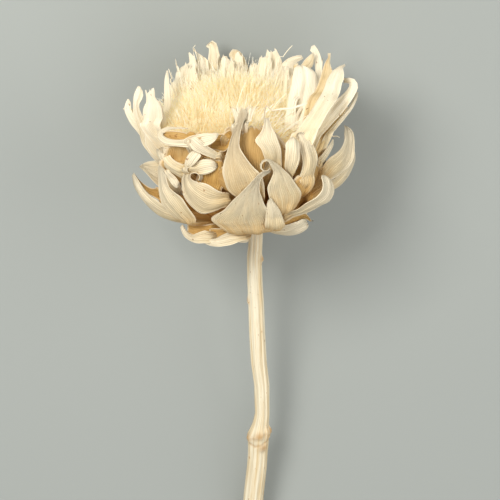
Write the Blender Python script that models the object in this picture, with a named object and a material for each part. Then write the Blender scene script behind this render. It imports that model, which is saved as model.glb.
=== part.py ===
"""Dried artichoke flower, cut with its stem and laid on its back.

The flower is drawn upright in millimetres: the neck (the stem's top) is the origin, +Z runs up
the axis, the viewer is at -Y and the viewer's right is +X. An empty then lays it down, so that
the head rests on two bracts and the stem on its cut end, all on the surface z = 0.
"""
import math
import zlib
from dataclasses import dataclass

import bmesh
import bpy
import numpy as np

# Driving sizes, in millimetres
MM = 0.001
STEM_LENGTH = 185.0
BLADE_THICKNESS = 0.7
RECEPTACLE_TOP = 20.3
SEAM = 0.4
CHOKE_FOOT = RECEPTACLE_TOP + SEAM
CHOKE_CROWN = 62.0
TUFT_COUNT = 270
TUFT_HALF_WIDTH = 1.0
TUFT_REACH = 34.5
CORE_SIDES = 20
STEM_RIBS = 10
FLOOR_REACH = 400.0
FLOOR_DEPTH = 50.0

# The row number of the papery crown, and how near two points are to count as one, in metres
CROWN = 6
MERGE = 1e-6

# How it lies: the axis rises by this angle from neck to crown, and where its neck comes to be
REST_TILT = math.radians(11.5)
NECK_X = 6.0
NECK_Y = 46.3
NECK_LIFT = 41.4

# Bracts are placed as seen by someone who looks down on the upright flower at this angle
VIEW = math.radians(24)

# A blade's outline: belly and neck as shares of its length, then widths and how full its side is
OUTLINES = {
    "leaf": (0.45, 0.94, 0.14, 1.7, 0.05),
    "taper": (0.38, 0.95, 0.09, 1.05, 0.04),
    "round": (0.50, 0.97, 0.40, 3.2, 0.30),
    "beak": (0.42, 0.70, 0.24, 1.3, 0.10),
    "strap": (0.40, 0.95, 0.62, 4.0, 0.45),
    "lance": (0.42, 0.95, 0.28, 2.2, 0.12),
}


@dataclass
class Bract:
    """One bract: the line of its midrib, and how its blade is cut and bent."""
    name: str
    row: int
    midrib: list
    width: float
    shape: str = "leaf"
    belly: float = 0.0
    cup: tuple = (20, 45)
    roll: tuple = (0, 40)
    hook: tuple = (0, 0)
    twist: tuple = (0, 0)
    wave: float = 0.6
    ragged: float = 0.0
    pressed: bool = False


def seen(across, up, front):
    """A point from how far across, up and towards the viewer it is seen."""
    return (across, -front, (up + front * math.sin(VIEW)) / math.cos(VIEW))


def around(azimuth, radius, height):
    """A point from its angle round the axis (0 is the front), radius and height."""
    angle = math.radians(azimuth)
    return (radius * math.sin(angle), -radius * math.cos(angle), height)


# Line and frame helpers

def unit(vectors):
    """The vectors at length 1."""
    return vectors / np.maximum(np.linalg.norm(vectors, axis=-1, keepdims=True), 1e-9)


def smooth_line(points, steps=12):
    """A curve through the points, with ends that carry straight on."""
    p = np.array(points, float)
    p = np.vstack([2 * p[0] - p[1], p, 2 * p[-1] - p[-2]])
    t = np.linspace(0, 1, steps, endpoint=False)[:, None]
    spans = [
        0.5 * (2 * b + (c - a) * t + (2 * a - 5 * b + 4 * c - d) * t**2 + (3 * b - a - 3 * c + d) * t**3)
        for a, b, c, d in zip(p, p[1:], p[2:], p[3:])
    ]
    return np.vstack(spans + [p[-2:-1]])


def evenly(line, count):
    """The line again with points at equal spacing, and its length."""
    along = np.r_[0, np.cumsum(np.linalg.norm(np.diff(line, axis=0), axis=1))]
    stops = np.linspace(0, along[-1], count)
    return np.stack([np.interp(stops, along, line[:, k]) for k in range(3)], 1), along[-1]


def carried_frame(line, twist):
    """Directions along, across and inwards, carried from a third of the way without spin."""
    forward = unit(np.gradient(line, axis=0))
    start = len(line) // 3
    azimuth = math.atan2(line[start, 0], -line[start, 1])
    across = np.zeros_like(line)
    for indices in (range(start, len(line)), range(start - 1, -1, -1)):
        w = np.array([math.cos(azimuth), math.sin(azimuth), 0])
        if indices.start != start:
            w = across[start]
        for i in indices:
            w = unit(w - (w @ forward[i]) * forward[i])
            across[i] = w
    inward = np.cross(forward, across)
    angle = np.radians(np.linspace(twist[0], twist[1], len(line)))[:, None]
    turned = across * np.cos(angle) + inward * np.sin(angle)
    return forward, turned, inward * np.cos(angle) - across * np.sin(angle)


def width_share(s, shape, belly):
    """The blade's width at each share of its length, as a share of its full width."""
    widest, neck, neck_width, fullness, tip_width = OUTLINES[shape]
    widest = belly or widest
    rise = 0.45 + 0.55 * np.sin(np.pi / 2 * np.clip(s / widest, 0, 1))
    past = np.clip((s - widest) / (neck - widest), 0, 1)
    end = np.clip((s - neck) / (1 - neck), 0, 1)
    fall = 1 - (1 - neck_width) * past**fullness
    return np.where(s < widest, rise, np.where(s < neck, fall, neck_width + (tip_width - neck_width) * end))


# The room kept for the choke and for the surface below

def choke_room(z):
    """Where the choke's middle is at a height, and how far it reaches there."""
    rise = np.clip((z - 18) / 46, 0, 1)
    return -2 - 10 * rise, 22 + 14 * rise


def clear_of_choke(grid, gap=1.2):
    """Moves points out of the choke's room."""
    middle, reach = choke_room(grid[..., 2])
    dx, dy = grid[..., 0] - middle, grid[..., 1]
    far = np.hypot(dx, dy)
    push = np.where((grid[..., 2] > 19) & (far < reach + gap), (reach + gap) / np.maximum(far, 1), 1)
    return np.stack([middle + dx * push, dy * push, grid[..., 2]], -1)


def clear_of_floor(grid, lowest=0.9, soft=4.0):
    """Bends points up where they would come within a few millimetres of the surface."""
    height = grid[..., 2] * math.sin(REST_TILT) - grid[..., 1] * math.cos(REST_TILT) + NECK_LIFT
    room = soft - lowest
    eased = np.where(height < soft, lowest + room * np.exp(np.minimum(height - soft, 0) / room), height)
    lift = (eased - height)[..., None]
    return grid + lift * np.array([0, -math.cos(REST_TILT), math.sin(REST_TILT)])


# Blades

def root_point(row, azimuth):
    """Where a row's bracts start, inside the receptacle."""
    radius, height = (24.0, 17.5) if row == CROWN else (5 + 3.2 * row, 2 + 1.8 * row + 0.3 * row * row)
    return (radius * math.sin(azimuth), -radius * math.cos(azimuth), height)


def midrib_line(bract):
    """The whole midrib, from its root to the end of its hook, at even spacing."""
    first = bract.midrib[0]
    root = root_point(bract.row, math.atan2(first[0], -first[1]))
    line = smooth_line([root] + list(bract.midrib))
    radius, turn = bract.hook
    if turn:
        short, _ = evenly(line, 40)
        forward, _, inward = carried_frame(short, (0, 0))
        bend = np.radians(np.linspace(0, abs(turn), 12))[1:, None]
        side = math.copysign(1, turn) * inward[-1]
        line = np.vstack([line, line[-1] + radius * (np.sin(bend) * forward[-1] + (1 - np.cos(bend)) * side)])
    return evenly(line, 73)


def blade_grid(bract, rows, columns):
    """Points on the middle of the blade, from root to tip and from edge to edge."""
    line, length = midrib_line(bract)
    _, across, inward = carried_frame(line, bract.twist)
    phase = np.random.default_rng(zlib.crc32(bract.name.encode())).uniform(0, 2 * np.pi, 6)
    c = np.linspace(-1, 1, columns + 1)[None]
    torn = 0.5 + 0.28 * np.sin(3.1 * c + phase[0]) + 0.22 * np.sin(7.3 * c + phase[1])
    s = np.linspace(0, 1, rows + 1)[:, None] * (1 - np.clip(bract.ragged * torn / length, 0, 0.5))
    stations = np.linspace(0, 1, len(line))

    def at(values):
        return np.stack([np.interp(s, stations, values[:, k]) for k in range(3)], -1)

    half = bract.width / 2 * width_share(s, bract.shape, bract.belly)
    cup = np.radians(bract.cup[0] + (bract.cup[1] - bract.cup[0]) * s)
    roll = np.radians(bract.roll[0] + (bract.roll[1] - bract.roll[0]) * s**1.5)
    side = np.zeros(s.shape)
    deep = np.zeros(s.shape)
    steps = (np.arange(12) + 0.5) / 12
    for t in steps:
        turn = cup * c * t + roll * np.sign(c) * (c * t) ** 4
        side += np.cos(turn) / len(steps)
        deep += np.sin(turn) / len(steps)
    edge = np.abs(c) ** 1.5 * np.sin(np.pi * np.clip(s * 1.02, 0, 1)) ** 0.6
    ripple = np.sin(9 * s + phase[2] + 1.5 * c) + 0.5 * np.sin(17 * s + phase[3] - 2 * c)
    side = side * half * c + 0.6 * bract.wave * edge * np.sin(12 * s + phase[4] + c) * np.sign(c)
    deep = deep * half * c + bract.wave * edge * ripple
    grid = at(line) + at(across) * side[..., None] + at(inward) * deep[..., None]
    if bract.row >= 3:
        grid = clear_of_choke(grid)
    return grid if bract.pressed else clear_of_floor(grid)


def shell_faces(rows, columns):
    """Triangles of a thin closed blade: outer face, inner face split alike, and the rim."""
    wide = columns + 1
    back = (rows + 1) * wide
    faces = []
    for i in range(rows):
        for j in range(columns):
            a, b, c, d = i * wide + j, (i + 1) * wide + j, (i + 1) * wide + j + 1, i * wide + j + 1
            faces += [(c, b, a), (d, c, a), (a + back, b + back, c + back), (a + back, c + back, d + back)]
    left = [i * wide for i in range(rows + 1)]
    right = [i * wide + columns for i in range(rows, -1, -1)]
    rim = left + list(range(rows * wide + 1, rows * wide + columns)) + right
    rim += list(range(columns - 1, 0, -1))
    for a, b in zip(rim, rim[1:] + rim[:1]):
        faces += [(a, b, b + back), (a, b + back, a + back)]
    return faces


def blade_mesh(bract, rows, columns):
    """A bract as a closed shell of even thickness."""
    grid = blade_grid(bract, rows, columns)
    normal = unit(np.cross(np.gradient(grid, axis=0), np.gradient(grid, axis=1)))
    half = BLADE_THICKNESS / 2
    points = np.concatenate([(grid - normal * half).reshape(-1, 3), (grid + normal * half).reshape(-1, 3)])
    return points, shell_faces(rows, columns)


def blade_steps(bract):
    """How many steps a blade has along and across: more where its midrib curls over."""
    return (6, 2) if len(bract.midrib) > 4 else (4, 2)


# The bracts that show from the front, each placed by hand

def front_bracts():
    """Outer bracts, from the lowest hanging ones up to the rim of the choke."""
    rows = [
        ("hang_left", 0, [(-20, -7, 22), (-32, -7, 27), (-37, -2, 27), (-37.5, 1, 26)], 15,
         dict(cup=(30, 70), shape="round")),
        ("hang_mid", 0, [(-12, -7, 28), (-22, -10, 34), (-29, -9, 37), (-31, -5, 38)], 16,
         dict(cup=(30, 70))),
        ("hang_front", 0, [(-6, -7, 26), (-14, -10, 34), (-18, -9, 37), (-18, -4.5, 38)], 17,
         dict(cup=(30, 60), shape="round")),
        ("hang_right", 0, [(8, -3, 20), (15, -3.5, 26), (22, -1.5, 26), (25, 1, 25)], 16,
         dict(cup=(30, 80), shape="round")),
        ("low_spike", 1, [(17, 2, 12), (23, 3.5, 13), (28.5, 2.5, 12)], 13,
         dict(cup=(10, 30), shape="taper", ragged=3)),
        ("low_left", 1, [(-34, 1, 12), (-46, 7, 14), (-55, 14, 12), (-61, 26, 7)], 20,
         dict(cup=(35, 60), shape="taper", belly=0.5)),
        ("left", 1, [(-28, 1, 29), (-38, 9, 32), (-45, 18, 30), (-47.5, 31.5, 22)], 23,
         dict(cup=(40, 75), belly=0.5)),
        ("left_back", 2, [(-34, 12, -2), (-48, 22, -2), (-58, 30, -3)], 20,
         dict(cup=(30, 60), shape="taper")),
        ("left_small", 2, [(-34, 15, 34), (-39, 21, 36), (-43, 27, 34)], 8,
         dict(cup=(30, 90), shape="round")),
        ("left_curl", 3, [(-26, 16, 41), (-34, 23, 41), (-41, 31, 37), (-46, 37, 31),
                          (-48.5, 35.5, 28), (-46, 33, 28)], 13,
         dict(cup=(40, 90), belly=0.5)),
        ("front_left", 2, [(-13, 8, 42), (-22, 11, 46), (-30, 16, 46.5), (-33.5, 22.5, 44),
                           (-31.5, 27, 42), (-28, 25.5, 43), (-27.5, 23, 44)], 19,
         dict(cup=(40, 70), belly=0.45)),
        ("front_low", 1, [(-3, -1.5, 38), (-4, 6, 45), (-2, 14, 48.5), (0.5, 20, 49), (3.2, 27.3, 48)], 35,
         dict(cup=(22, 25), roll=(0, 20), shape="taper", belly=0.36, wave=0.3)),
        ("front_fold", 1, [(8, 0, 36), (9.5, 5, 43), (8, 11, 46), (5.5, 17, 46.5)], 23,
         dict(cup=(20, 40), shape="taper", belly=0.4)),
        ("front_right", 2, [(13, 6, 41), (15, 14, 46), (14, 22, 48), (11, 28.5, 47.5), (7, 31, 46.5),
                            (3.6, 29.5, 45.5), (3.2, 26.5, 45), (6, 25.2, 45.5)], 20,
         dict(cup=(35, 60), shape="beak", belly=0.4)),
        ("right_low", 1, [(14, 4, 36), (24, 8, 38), (32, 12.5, 35), (35.5, 19, 31), (34.5, 25, 28)], 19,
         dict(cup=(40, 80), shape="round")),
        ("right_lower", 1, [(30, 9, 28), (36, 12, 25), (39.5, 15, 21), (38, 19, 18)], 14,
         dict(cup=(40, 80), shape="round")),
        ("right_edge", 1, [(36, 18, 15), (43, 24, 12), (48, 31, 9), (49, 37, 6)], 14,
         dict(cup=(40, 60))),
        ("right_long", 2, [(31, 20, 24), (39, 27, 20), (44, 36, 14), (43.5, 48.5, 8)], 14,
         dict(cup=(35, 60), shape="lance")),
        ("right_deep", 3, [(20, 14, 36), (27, 22, 36), (30, 30, 32)], 22,
         dict(cup=(30, 60), shape="round")),
        ("right_curl", 3, [(24, 22, 38), (28.5, 31, 37), (28.5, 39, 35), (25, 45, 33), (21.5, 45, 33),
                           (20.5, 42, 34)], 16,
         dict(cup=(40, 70), belly=0.4)),
        ("right_thin", 4, [(30, 31, 18), (34, 37, 15), (38, 43, 12)], 11,
         dict(cup=(30, 60))),
        ("mid_right", 4, [(16, 25, 43), (18, 32, 44), (18, 39, 42), (15.5, 42.5, 40), (15.8, 38.5, 40)], 13,
         dict(cup=(45, 80), shape="round")),
        ("mid_tall", 3, [(-5, 12, 47), (-8, 19, 50), (-9, 27, 51), (-10, 36, 48), (-8, 45, 44),
                         (-4.8, 53, 39)], 28,
         dict(cup=(40, 50), shape="beak", belly=0.4, ragged=2)),
        ("mid_deep", 4, [(2, 22, 40), (2, 32, 41), (-1, 41, 39), (-3, 49, 36)], 30,
         dict(cup=(30, 40), shape="round", ragged=3)),
        ("mid_point", 4, [(8, 27, 42), (7, 35, 44), (6, 43, 43), (5, 52.5, 38)], 17,
         dict(cup=(45, 60), belly=0.45)),
        ("upper_left", 3, [(-15, 20, 45), (-22, 24, 47), (-27, 25, 47.5)], 15,
         dict(cup=(50, 60), shape="round")),
        ("upper_curl", 4, [(-32, 24, 40), (-34, 31, 41), (-31.5, 36.5, 41), (-28, 35, 42.5),
                           (-27.5, 33, 43)], 12,
         dict(cup=(45, 70), shape="round")),
        ("upper_deep", 4, [(-14, 18, 43), (-21, 24, 43), (-24, 29, 42)], 24,
         dict(cup=(40, 50), shape="round")),
        ("rim_long", 5, [(-20, 27, 36), (-30, 36, 40), (-37, 40, 41), (-44, 41, 38)], 14,
         dict(cup=(40, 30))),
        ("rim_front", 5, [(-10, 28, 42), (-19, 34, 45), (-28, 37, 46), (-34, 38.5, 44)], 13,
         dict(cup=(40, 40))),
        ("rim_left", 5, [(-34, 34, 30), (-42, 42, 31), (-47, 43, 30)], 12,
         dict(cup=(40, 30))),
    ]
    return [Bract(n, row, [seen(*p) for p in line], width, **bends) for n, row, line, width, bends in rows]


def crown_bracts():
    """The papery straps round the choke that show from the front."""
    rows = [
        ("crown_right_1", [(30, 33, 14), (39.5, 45, 11), (47, 57, 8), (50.5, 66, 6), (49, 72, 4),
                           (45, 72, 3), (43.5, 69.5, 3)], 15, "lance", 0),
        ("crown_right_2", [(25, 35, 24), (34.5, 47, 19), (42.5, 58, 13), (48, 68, 8)], 14, "strap", 4),
        ("crown_right_3", [(21, 38, 28), (29.5, 50, 23), (37, 63, 15), (41.5, 77, 8)], 16, "strap", 4),
        ("crown_right_5", [(29, 54, 0), (35, 68, -8), (36, 77, -12), (36.5, 85, -14)], 17, "beak", 0),
        ("crown_right_6", [(27, 56, -10), (32, 68, -18), (33, 79, -22), (28, 89, -24)], 11, "strap", 2),
        ("crown_right_7", [(20, 56, -14), (21.5, 67, -20), (22, 77, -24)], 15, "strap", 4),
        ("crown_right_9", [(12, 62, -28), (14, 74, -33), (18, 81.5, -35), (23.5, 84.5, -34)], 13, "lance", 0),
        ("crown_right_11", [(22, 48, 12), (27, 58, 6), (30, 66, 2)], 16, "strap", 5),
        ("crown_back_1", [(6, 63, -30), (6, 74, -36), (5.5, 86, -40)], 15, "strap", 5),
        ("crown_back_4", [(-8, 64, -31), (-8, 77, -37), (-9, 86, -38), (-13, 87, -37)], 14, "strap", 2),
        ("crown_back_6", [(-20, 65, -34), (-20.5, 78, -41), (-21, 88, -45), (-24.5, 91, -45)], 13, "strap", 2),
        ("crown_back_7", [(-25, 66, -32), (-27.5, 79, -39), (-31, 88, -42)], 12, "strap", 4),
        ("crown_back_9", [(-34, 60, -24), (-37, 70, -29), (-39, 79, -34)], 11, "strap", 5),
        ("crown_back_11", [(-41, 54, -10), (-44, 68, -15), (-43.5, 78, -18)], 10, "lance", 0),
        ("crown_left_1", [(-45, 36, 14), (-50, 47, 19), (-52.5, 57, 20), (-52.5, 69, 19)], 17, "strap", 3),
        ("crown_left_2", [(-44, 36, 8), (-53, 47, 12), (-58, 58, 12), (-57.5, 70, 11)], 15, "strap", 3),
        ("crown_left_3", [(-48, 36, 2), (-59, 48, 4), (-64, 57, 3), (-62.5, 65, 2)], 14, "strap", 2),
    ]
    return [
        Bract(name, CROWN, [seen(*p) for p in line], width, shape, cup=(30, 50), ragged=ragged)
        for name, line, width, shape, ragged in rows
    ]


# The rest of the head, by rule

def ring(name, row, count, start, stop, path, width, seed, **bends):
    """Bracts spread evenly round an arc of the axis, each a little off the rule."""
    rng = np.random.default_rng(seed)
    made = []
    for i in range(count):
        azimuth = start + (stop - start) * (i + 0.5) / count + rng.uniform(-3, 3)
        grow, lift, sway = rng.uniform(0.94, 1.05), rng.uniform(-2, 2), rng.uniform(-5, 5)
        line = [around(azimuth + sway * k / 2, r * grow, z + lift * k / 2) for k, (r, z) in enumerate(path)]
        twist = (0, rng.uniform(-16, 16))
        made.append(Bract(f"{name}_{i + 1}", row, line, width * rng.uniform(0.9, 1.1), twist=twist, **bends))
    return made


def hidden_bracts():
    """Every bract that the front doesn't show."""
    open_cup, shut_cup = (30, 70), (35, 65)
    papery = dict(shape="strap", cup=(30, 50), ragged=5)
    return (
        ring("back_hang", 0, 4, 80, 280, [(22, 2), (34, 3), (42, 9)], 22, 1, cup=open_cup, shape="round")
        + ring("back_low", 1, 3, 72, 288, [(32, 7), (46, 17), (50, 29), (50, 39)], 31, 2, cup=shut_cup,
               hook=(5, 40))
        + ring("back_mid", 2, 4, 86, 274, [(32, 13), (45, 24), (51, 36), (49, 48)], 28, 3, cup=shut_cup,
               hook=(4, 60))
        + ring("back_high", 3, 5, 92, 270, [(31, 17), (43, 30), (48, 43), (46, 56)], 27, 4, cup=shut_cup,
               hook=(4, 80))
        + ring("back_top", 4, 4, 80, 268, [(30, 21), (39, 34), (45, 48), (46, 62)], 23, 5, cup=(35, 60),
               shape="lance", hook=(4, 40))
        + ring("crown_outer", CROWN, 6, 95, 275, [(35, 38), (42, 55), (48, 68), (52, 76)], 16, 6, **papery)
        + ring("rim_inner", 5, 2, -60, 30, [(30, 28), (35, 40), (38.5, 52), (39.5, 58)], 24, 8,
               cup=(30, 40), shape="round")
    )


def resting_bracts():
    """The two bracts at the back that the head lies on, pressed level with the surface."""
    made = []
    for side in (-1, 1):
        line = [(side * 13, 28, 11), (side * 20, 42, 22), (side * 24, 49.95, 34), (side * 24, 50.35, 45)]
        name = "rest_left" if side < 0 else "rest_right"
        made.append(Bract(name, 1, line, 25, cup=(25, 55), twist=(side * 26, side * 26), wave=0,
                          hook=(6, 40), pressed=True))
    return made


# Solids of revolution and the stem

def ring_solid(rings):
    """Points and faces of a closed solid through rings of equal counts, capped at both ends."""
    count = len(rings[0])
    points = np.concatenate(rings)
    faces = [tuple(reversed(range(count))), tuple(range(len(points) - count, len(points)))]
    for level in range(len(rings) - 1):
        for k in range(count):
            a, b = level * count + k, level * count + (k + 1) % count
            faces += [(a, b, b + count), (a, b + count, a + count)]
    return points, faces


def receptacle():
    """The base that every bract grows from: a solid foot, and the cup round the choke above it."""
    outside = [(0, 3.5, 0), (0, 6, 0.8), (0, 10, 2.2), (0, 17, 5), (-0.5, 25, 9.5), (-1.5, 31, 16),
               (-2.5, 34.5, 24), (-4, 36.5, 33), (-6, 37.5, 41), (-8, 36.5, 47), (-8.5, 34, 49.5)]
    inside = [(48, 1.0), (42, 1.4), (34, 1.5), (27, 1.5), (RECEPTACLE_TOP + 1, 1.4), (RECEPTACLE_TOP, -0.5)]
    rings = [(middle, r, z) for middle, r, z in outside]
    for z, gap in inside:
        middle, reach = choke_room(z)
        rings.append((middle, reach + gap, z))
    angles = np.linspace(0, 2 * np.pi, CORE_SIDES, endpoint=False)
    return ring_solid([np.stack([m + r * np.cos(angles), r * np.sin(angles), 0 * angles + z], 1)
                       for m, r, z in rings])


def stem():
    """The ribbed stem, with its leaf node and scars, down to its plain cut end."""
    centre = [(0, 0), (9.3, -0.3), (17, -0.9), (30.7, -0.6), (41.6, 0), (57.5, 0.5), (75, 1.4), (87.6, 2.9),
              (104, 3.2), (117.7, 1.3), (133.6, 0.5), (150, -1.2), (STEM_LENGTH, -3.5)]
    radius = [(0, 3.4), (9, 3.3), (17, 3.6), (57, 3.9), (75, 3.9), (104, 3.5), (110, 3.9), (115, 5.3),
              (119, 5.1), (126, 4.8), (STEM_LENGTH, 4.9)]
    scars = [(17.5, 80, 0.9, 2.5), (40.5, -85, 0.7, 2.5), (112.5, 75, 1.6, 2.2), (117, -70, 1.0, 3.0),
             (121, 30, 0.8, 2.5)]
    rib_height = 0.22
    angles = np.linspace(0, 2 * np.pi, 2 * STEM_RIBS, endpoint=False)
    stops = np.unique(np.r_[np.linspace(SEAM, STEM_LENGTH, 20), 17.5, 40.5, 110, 113, 116, 119.5, 123])
    rings = []
    for down in stops:
        across = np.interp(down, *zip(*centre))
        around_axis = np.interp(down, *zip(*radius)) + rib_height * np.cos(STEM_RIBS * angles)
        for place, azimuth, height, spread in scars:
            turn = np.angle(np.exp(1j * (angles - math.radians(azimuth - 90))))
            around_axis = around_axis + height * np.exp(-((down - place) / spread) ** 2 - (turn / 0.5) ** 2)
        rings.append(np.stack([across + around_axis * np.cos(angles), around_axis * np.sin(angles),
                               0 * angles - down], 1))
    return ring_solid(rings[::-1])


def choke_core():
    """The packed middle of the choke, leaning as the choke does."""
    profile = [(18, CHOKE_FOOT), (20.5, 25), (23.5, 33), (26.5, 42), (28.5, 50), (28, 54.5), (24, 58),
               (15, 60.8), (5, CHOKE_CROWN)]
    angles = np.linspace(0, 2 * np.pi, CORE_SIDES, endpoint=False)
    rings = []
    for r, z in profile:
        middle, _ = choke_room(z)
        rings.append(np.stack([middle + r * np.cos(angles), r * np.sin(angles), 0 * angles + z], 1))
    return ring_solid(rings)


def choke_tufts():
    """Three-sided tufts that stand out of the core, spread evenly by the golden angle."""
    rng = np.random.default_rng(11)
    golden = math.pi * (3 - math.sqrt(5))
    middle, _ = choke_room(CHOKE_CROWN)
    tufts = []
    for i in range(TUFT_COUNT):
        out = math.sqrt((i + 0.5) / TUFT_COUNT)
        angle = i * golden
        radial = np.array([math.cos(angle), math.sin(angle), 0])
        base = np.array([middle, 0, 58.5 - 6 * out**3]) + radial * 26.5 * out
        lean = 0.1 + 0.42 * out**2
        forward = unit(radial * lean + np.array([rng.normal(0, 0.2), rng.normal(0, 0.2), 1]))
        tip = base + forward * rng.uniform(9.5, 14)
        far = math.hypot(tip[0] - middle, tip[1])
        if far > TUFT_REACH:
            tip[0] = middle + (tip[0] - middle) * TUFT_REACH / far
            tip[1] = tip[1] * TUFT_REACH / far
        side = unit(np.cross(forward, [1, 0.3, 0]))
        other = np.cross(forward, side)
        corners = [base + TUFT_HALF_WIDTH * (side * math.cos(t) + other * math.sin(t))
                   for t in (0, 2 * math.pi / 3, 4 * math.pi / 3)]
        tufts.append((np.array(corners + [tip]), [(0, 2, 1), (0, 1, 3), (1, 2, 3), (2, 0, 3)]))
    return tufts


# Blender objects

def make_material(name, colour, roughness):
    """A plain matt material."""
    material = bpy.data.materials.new(name)
    material.use_nodes = True
    shader = material.node_tree.nodes["Principled BSDF"]
    shader.inputs["Base Color"].default_value = (*colour, 1)
    shader.inputs["Roughness"].default_value = roughness
    shader.inputs["Metallic"].default_value = 0.0
    return material


def make_object(name, points, faces):
    """An object from points in millimetres, with its faces turned outwards."""
    mesh = bpy.data.meshes.new(name)
    mesh.from_pydata((np.asarray(points) * MM).tolist(), [], faces)
    shape = bmesh.new()
    shape.from_mesh(mesh)
    bmesh.ops.recalc_face_normals(shape, faces=shape.faces)
    shape.to_mesh(mesh)
    shape.free()
    thing = bpy.data.objects.new(name, mesh)
    bpy.context.scene.collection.objects.link(thing)
    return thing


def body_volume(faces):
    """Signed volume of a closed set of triangles."""
    total = 0.0
    for face in faces:
        a, b, c = (v.co for v in face.verts)
        total += a.dot(b.cross(c)) / 6
    return total


def keep_main_body(mesh):
    """Drops loose scraps and the walls of sealed hollows, so one closed body is left."""
    shape = bmesh.new()
    shape.from_mesh(mesh)
    bmesh.ops.remove_doubles(shape, verts=shape.verts, dist=MERGE)
    bmesh.ops.dissolve_degenerate(shape, edges=shape.edges, dist=MERGE)
    bmesh.ops.triangulate(shape, faces=shape.faces)
    unseen = set(shape.faces)
    bodies = []
    while unseen:
        body, front = [], [unseen.pop()]
        while front:
            face = front.pop()
            body.append(face)
            for edge in face.edges:
                for other in edge.link_faces:
                    if other in unseen:
                        unseen.discard(other)
                        front.append(other)
        bodies.append(body)
    bodies.sort(key=body_volume)
    extra = [face for body in bodies[:-1] for face in body]
    bmesh.ops.delete(shape, geom=extra, context="FACES")
    shape.to_mesh(mesh)
    shape.free()


def apply_boolean(thing, operation, solver, **operand):
    """Applies one Boolean, and keeps the main body of what it makes."""
    step = thing.modifiers.new(operation.lower(), "BOOLEAN")
    step.operation = operation
    step.solver = solver
    for key, value in operand.items():
        setattr(step, key, value)
    graph = bpy.context.evaluated_depsgraph_get()
    result = bpy.data.meshes.new_from_object(thing.evaluated_get(graph))
    thing.modifiers.clear()
    thing.data = result
    keep_main_body(result)


def join_repeats(thing, repeats):
    """Unites the repeats with what they grow from, in one Boolean, and removes them.

    Crossing blades make the exact solver leave edges shared by four faces; this one doesn't.
    """
    collection = bpy.data.collections.new(thing.name + "_repeats")
    bpy.context.scene.collection.children.link(collection)
    for k, (points, faces) in enumerate(repeats):
        piece = make_object(f"{thing.name}_repeat_{k}", points, faces)
        bpy.context.scene.collection.objects.unlink(piece)
        collection.objects.link(piece)
    apply_boolean(thing, "UNION", "MANIFOLD", operand_type="COLLECTION", collection=collection)
    for piece in list(collection.objects):
        bpy.data.objects.remove(piece)
    bpy.data.collections.remove(collection)


def floor_block():
    """A block whose top is the surface that the flower lies on."""
    square = [(-1, -1), (1, -1), (1, 1), (-1, 1)]
    corners = [(x * FLOOR_REACH, y * FLOOR_REACH, z) for z in (-FLOOR_DEPTH, 0) for x, y in square]
    walls = [(k, (k + 1) % 4, (k + 1) % 4 + 4, k + 4) for k in range(4)]
    return make_object("floor_cutter", corners, [(3, 2, 1, 0), (4, 5, 6, 7)] + walls)


def cut_level(thing, floor):
    """Takes off what would reach below the surface, which leaves small flat spots."""
    apply_boolean(thing, "DIFFERENCE", "EXACT", operand_type="OBJECT", object=floor)


def finish(thing, material, parent):
    """Gives a piece its material and lays it down with the rest."""
    thing.data.materials.clear()
    thing.data.materials.append(material)
    thing.parent = parent


def main():
    """Clears the scene, models the three pieces upright, lays them down and levels what they rest on."""
    for old in list(bpy.data.objects):
        bpy.data.objects.remove(old)

    lying = bpy.data.objects.new("lying", None)
    bpy.context.scene.collection.objects.link(lying)
    lying.rotation_euler = (REST_TILT - math.pi / 2, 0, 0)
    lying.location = (NECK_X * MM, NECK_Y * MM, NECK_LIFT * MM)

    head = make_object("bract_head", *receptacle())
    bracts = front_bracts() + crown_bracts() + hidden_bracts() + resting_bracts()
    join_repeats(head, [blade_mesh(bract, *blade_steps(bract)) for bract in bracts])
    choke = make_object("choke", *choke_core())
    join_repeats(choke, choke_tufts())
    stalk = make_object("stem", *stem())

    finish(head, make_material("bract", (0.80, 0.69, 0.46), 0.75), lying)
    finish(choke, make_material("choke_hair", (0.88, 0.74, 0.44), 0.9), lying)
    finish(stalk, make_material("stem_skin", (0.78, 0.66, 0.42), 0.7), lying)
    bpy.context.view_layer.update()
    floor = floor_block()
    for resting in (head, stalk):
        cut_level(resting, floor)
    bpy.data.objects.remove(floor)


main()
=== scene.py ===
"""Looks of a dried artichoke flower, cut with its stem and laid on its back.

The flower is drawn upright in millimetres, as it grew: its neck is the origin, +Z runs up its axis,
the viewer is at -Y and the viewer's right is +X. Each finished mesh is then laid down, in metres,
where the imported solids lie.
"""

import logging
import math
import zlib
from dataclasses import dataclass, field
from enum import Enum

import bpy
import numpy as np
from mathutils import Matrix, Vector


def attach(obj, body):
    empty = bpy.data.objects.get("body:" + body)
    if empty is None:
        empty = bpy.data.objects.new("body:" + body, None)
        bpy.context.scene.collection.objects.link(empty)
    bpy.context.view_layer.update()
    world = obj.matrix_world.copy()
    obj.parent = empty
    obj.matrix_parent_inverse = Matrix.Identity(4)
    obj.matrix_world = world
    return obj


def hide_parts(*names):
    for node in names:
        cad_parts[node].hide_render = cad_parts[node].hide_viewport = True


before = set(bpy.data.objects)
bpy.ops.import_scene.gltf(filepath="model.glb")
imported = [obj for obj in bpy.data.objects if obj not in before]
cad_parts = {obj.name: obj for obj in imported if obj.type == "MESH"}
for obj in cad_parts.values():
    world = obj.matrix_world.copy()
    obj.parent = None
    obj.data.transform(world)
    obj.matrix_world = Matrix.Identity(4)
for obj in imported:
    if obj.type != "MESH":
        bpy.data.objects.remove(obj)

log = logging.getLogger("artichoke")

MM = 0.001
CROWN_ROW = 6

# The choke's room inside the bracts is a leaning cone: where it starts and how high it is, where its middle
# is there and how far that leans to the left by the top, and how far it reaches there and how much it widens.
ROOM_START, ROOM_HEIGHT = 18, 46
ROOM_MIDDLE, ROOM_LEAN = -2, 10
ROOM_REACH, ROOM_FLARE = 22, 14

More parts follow.
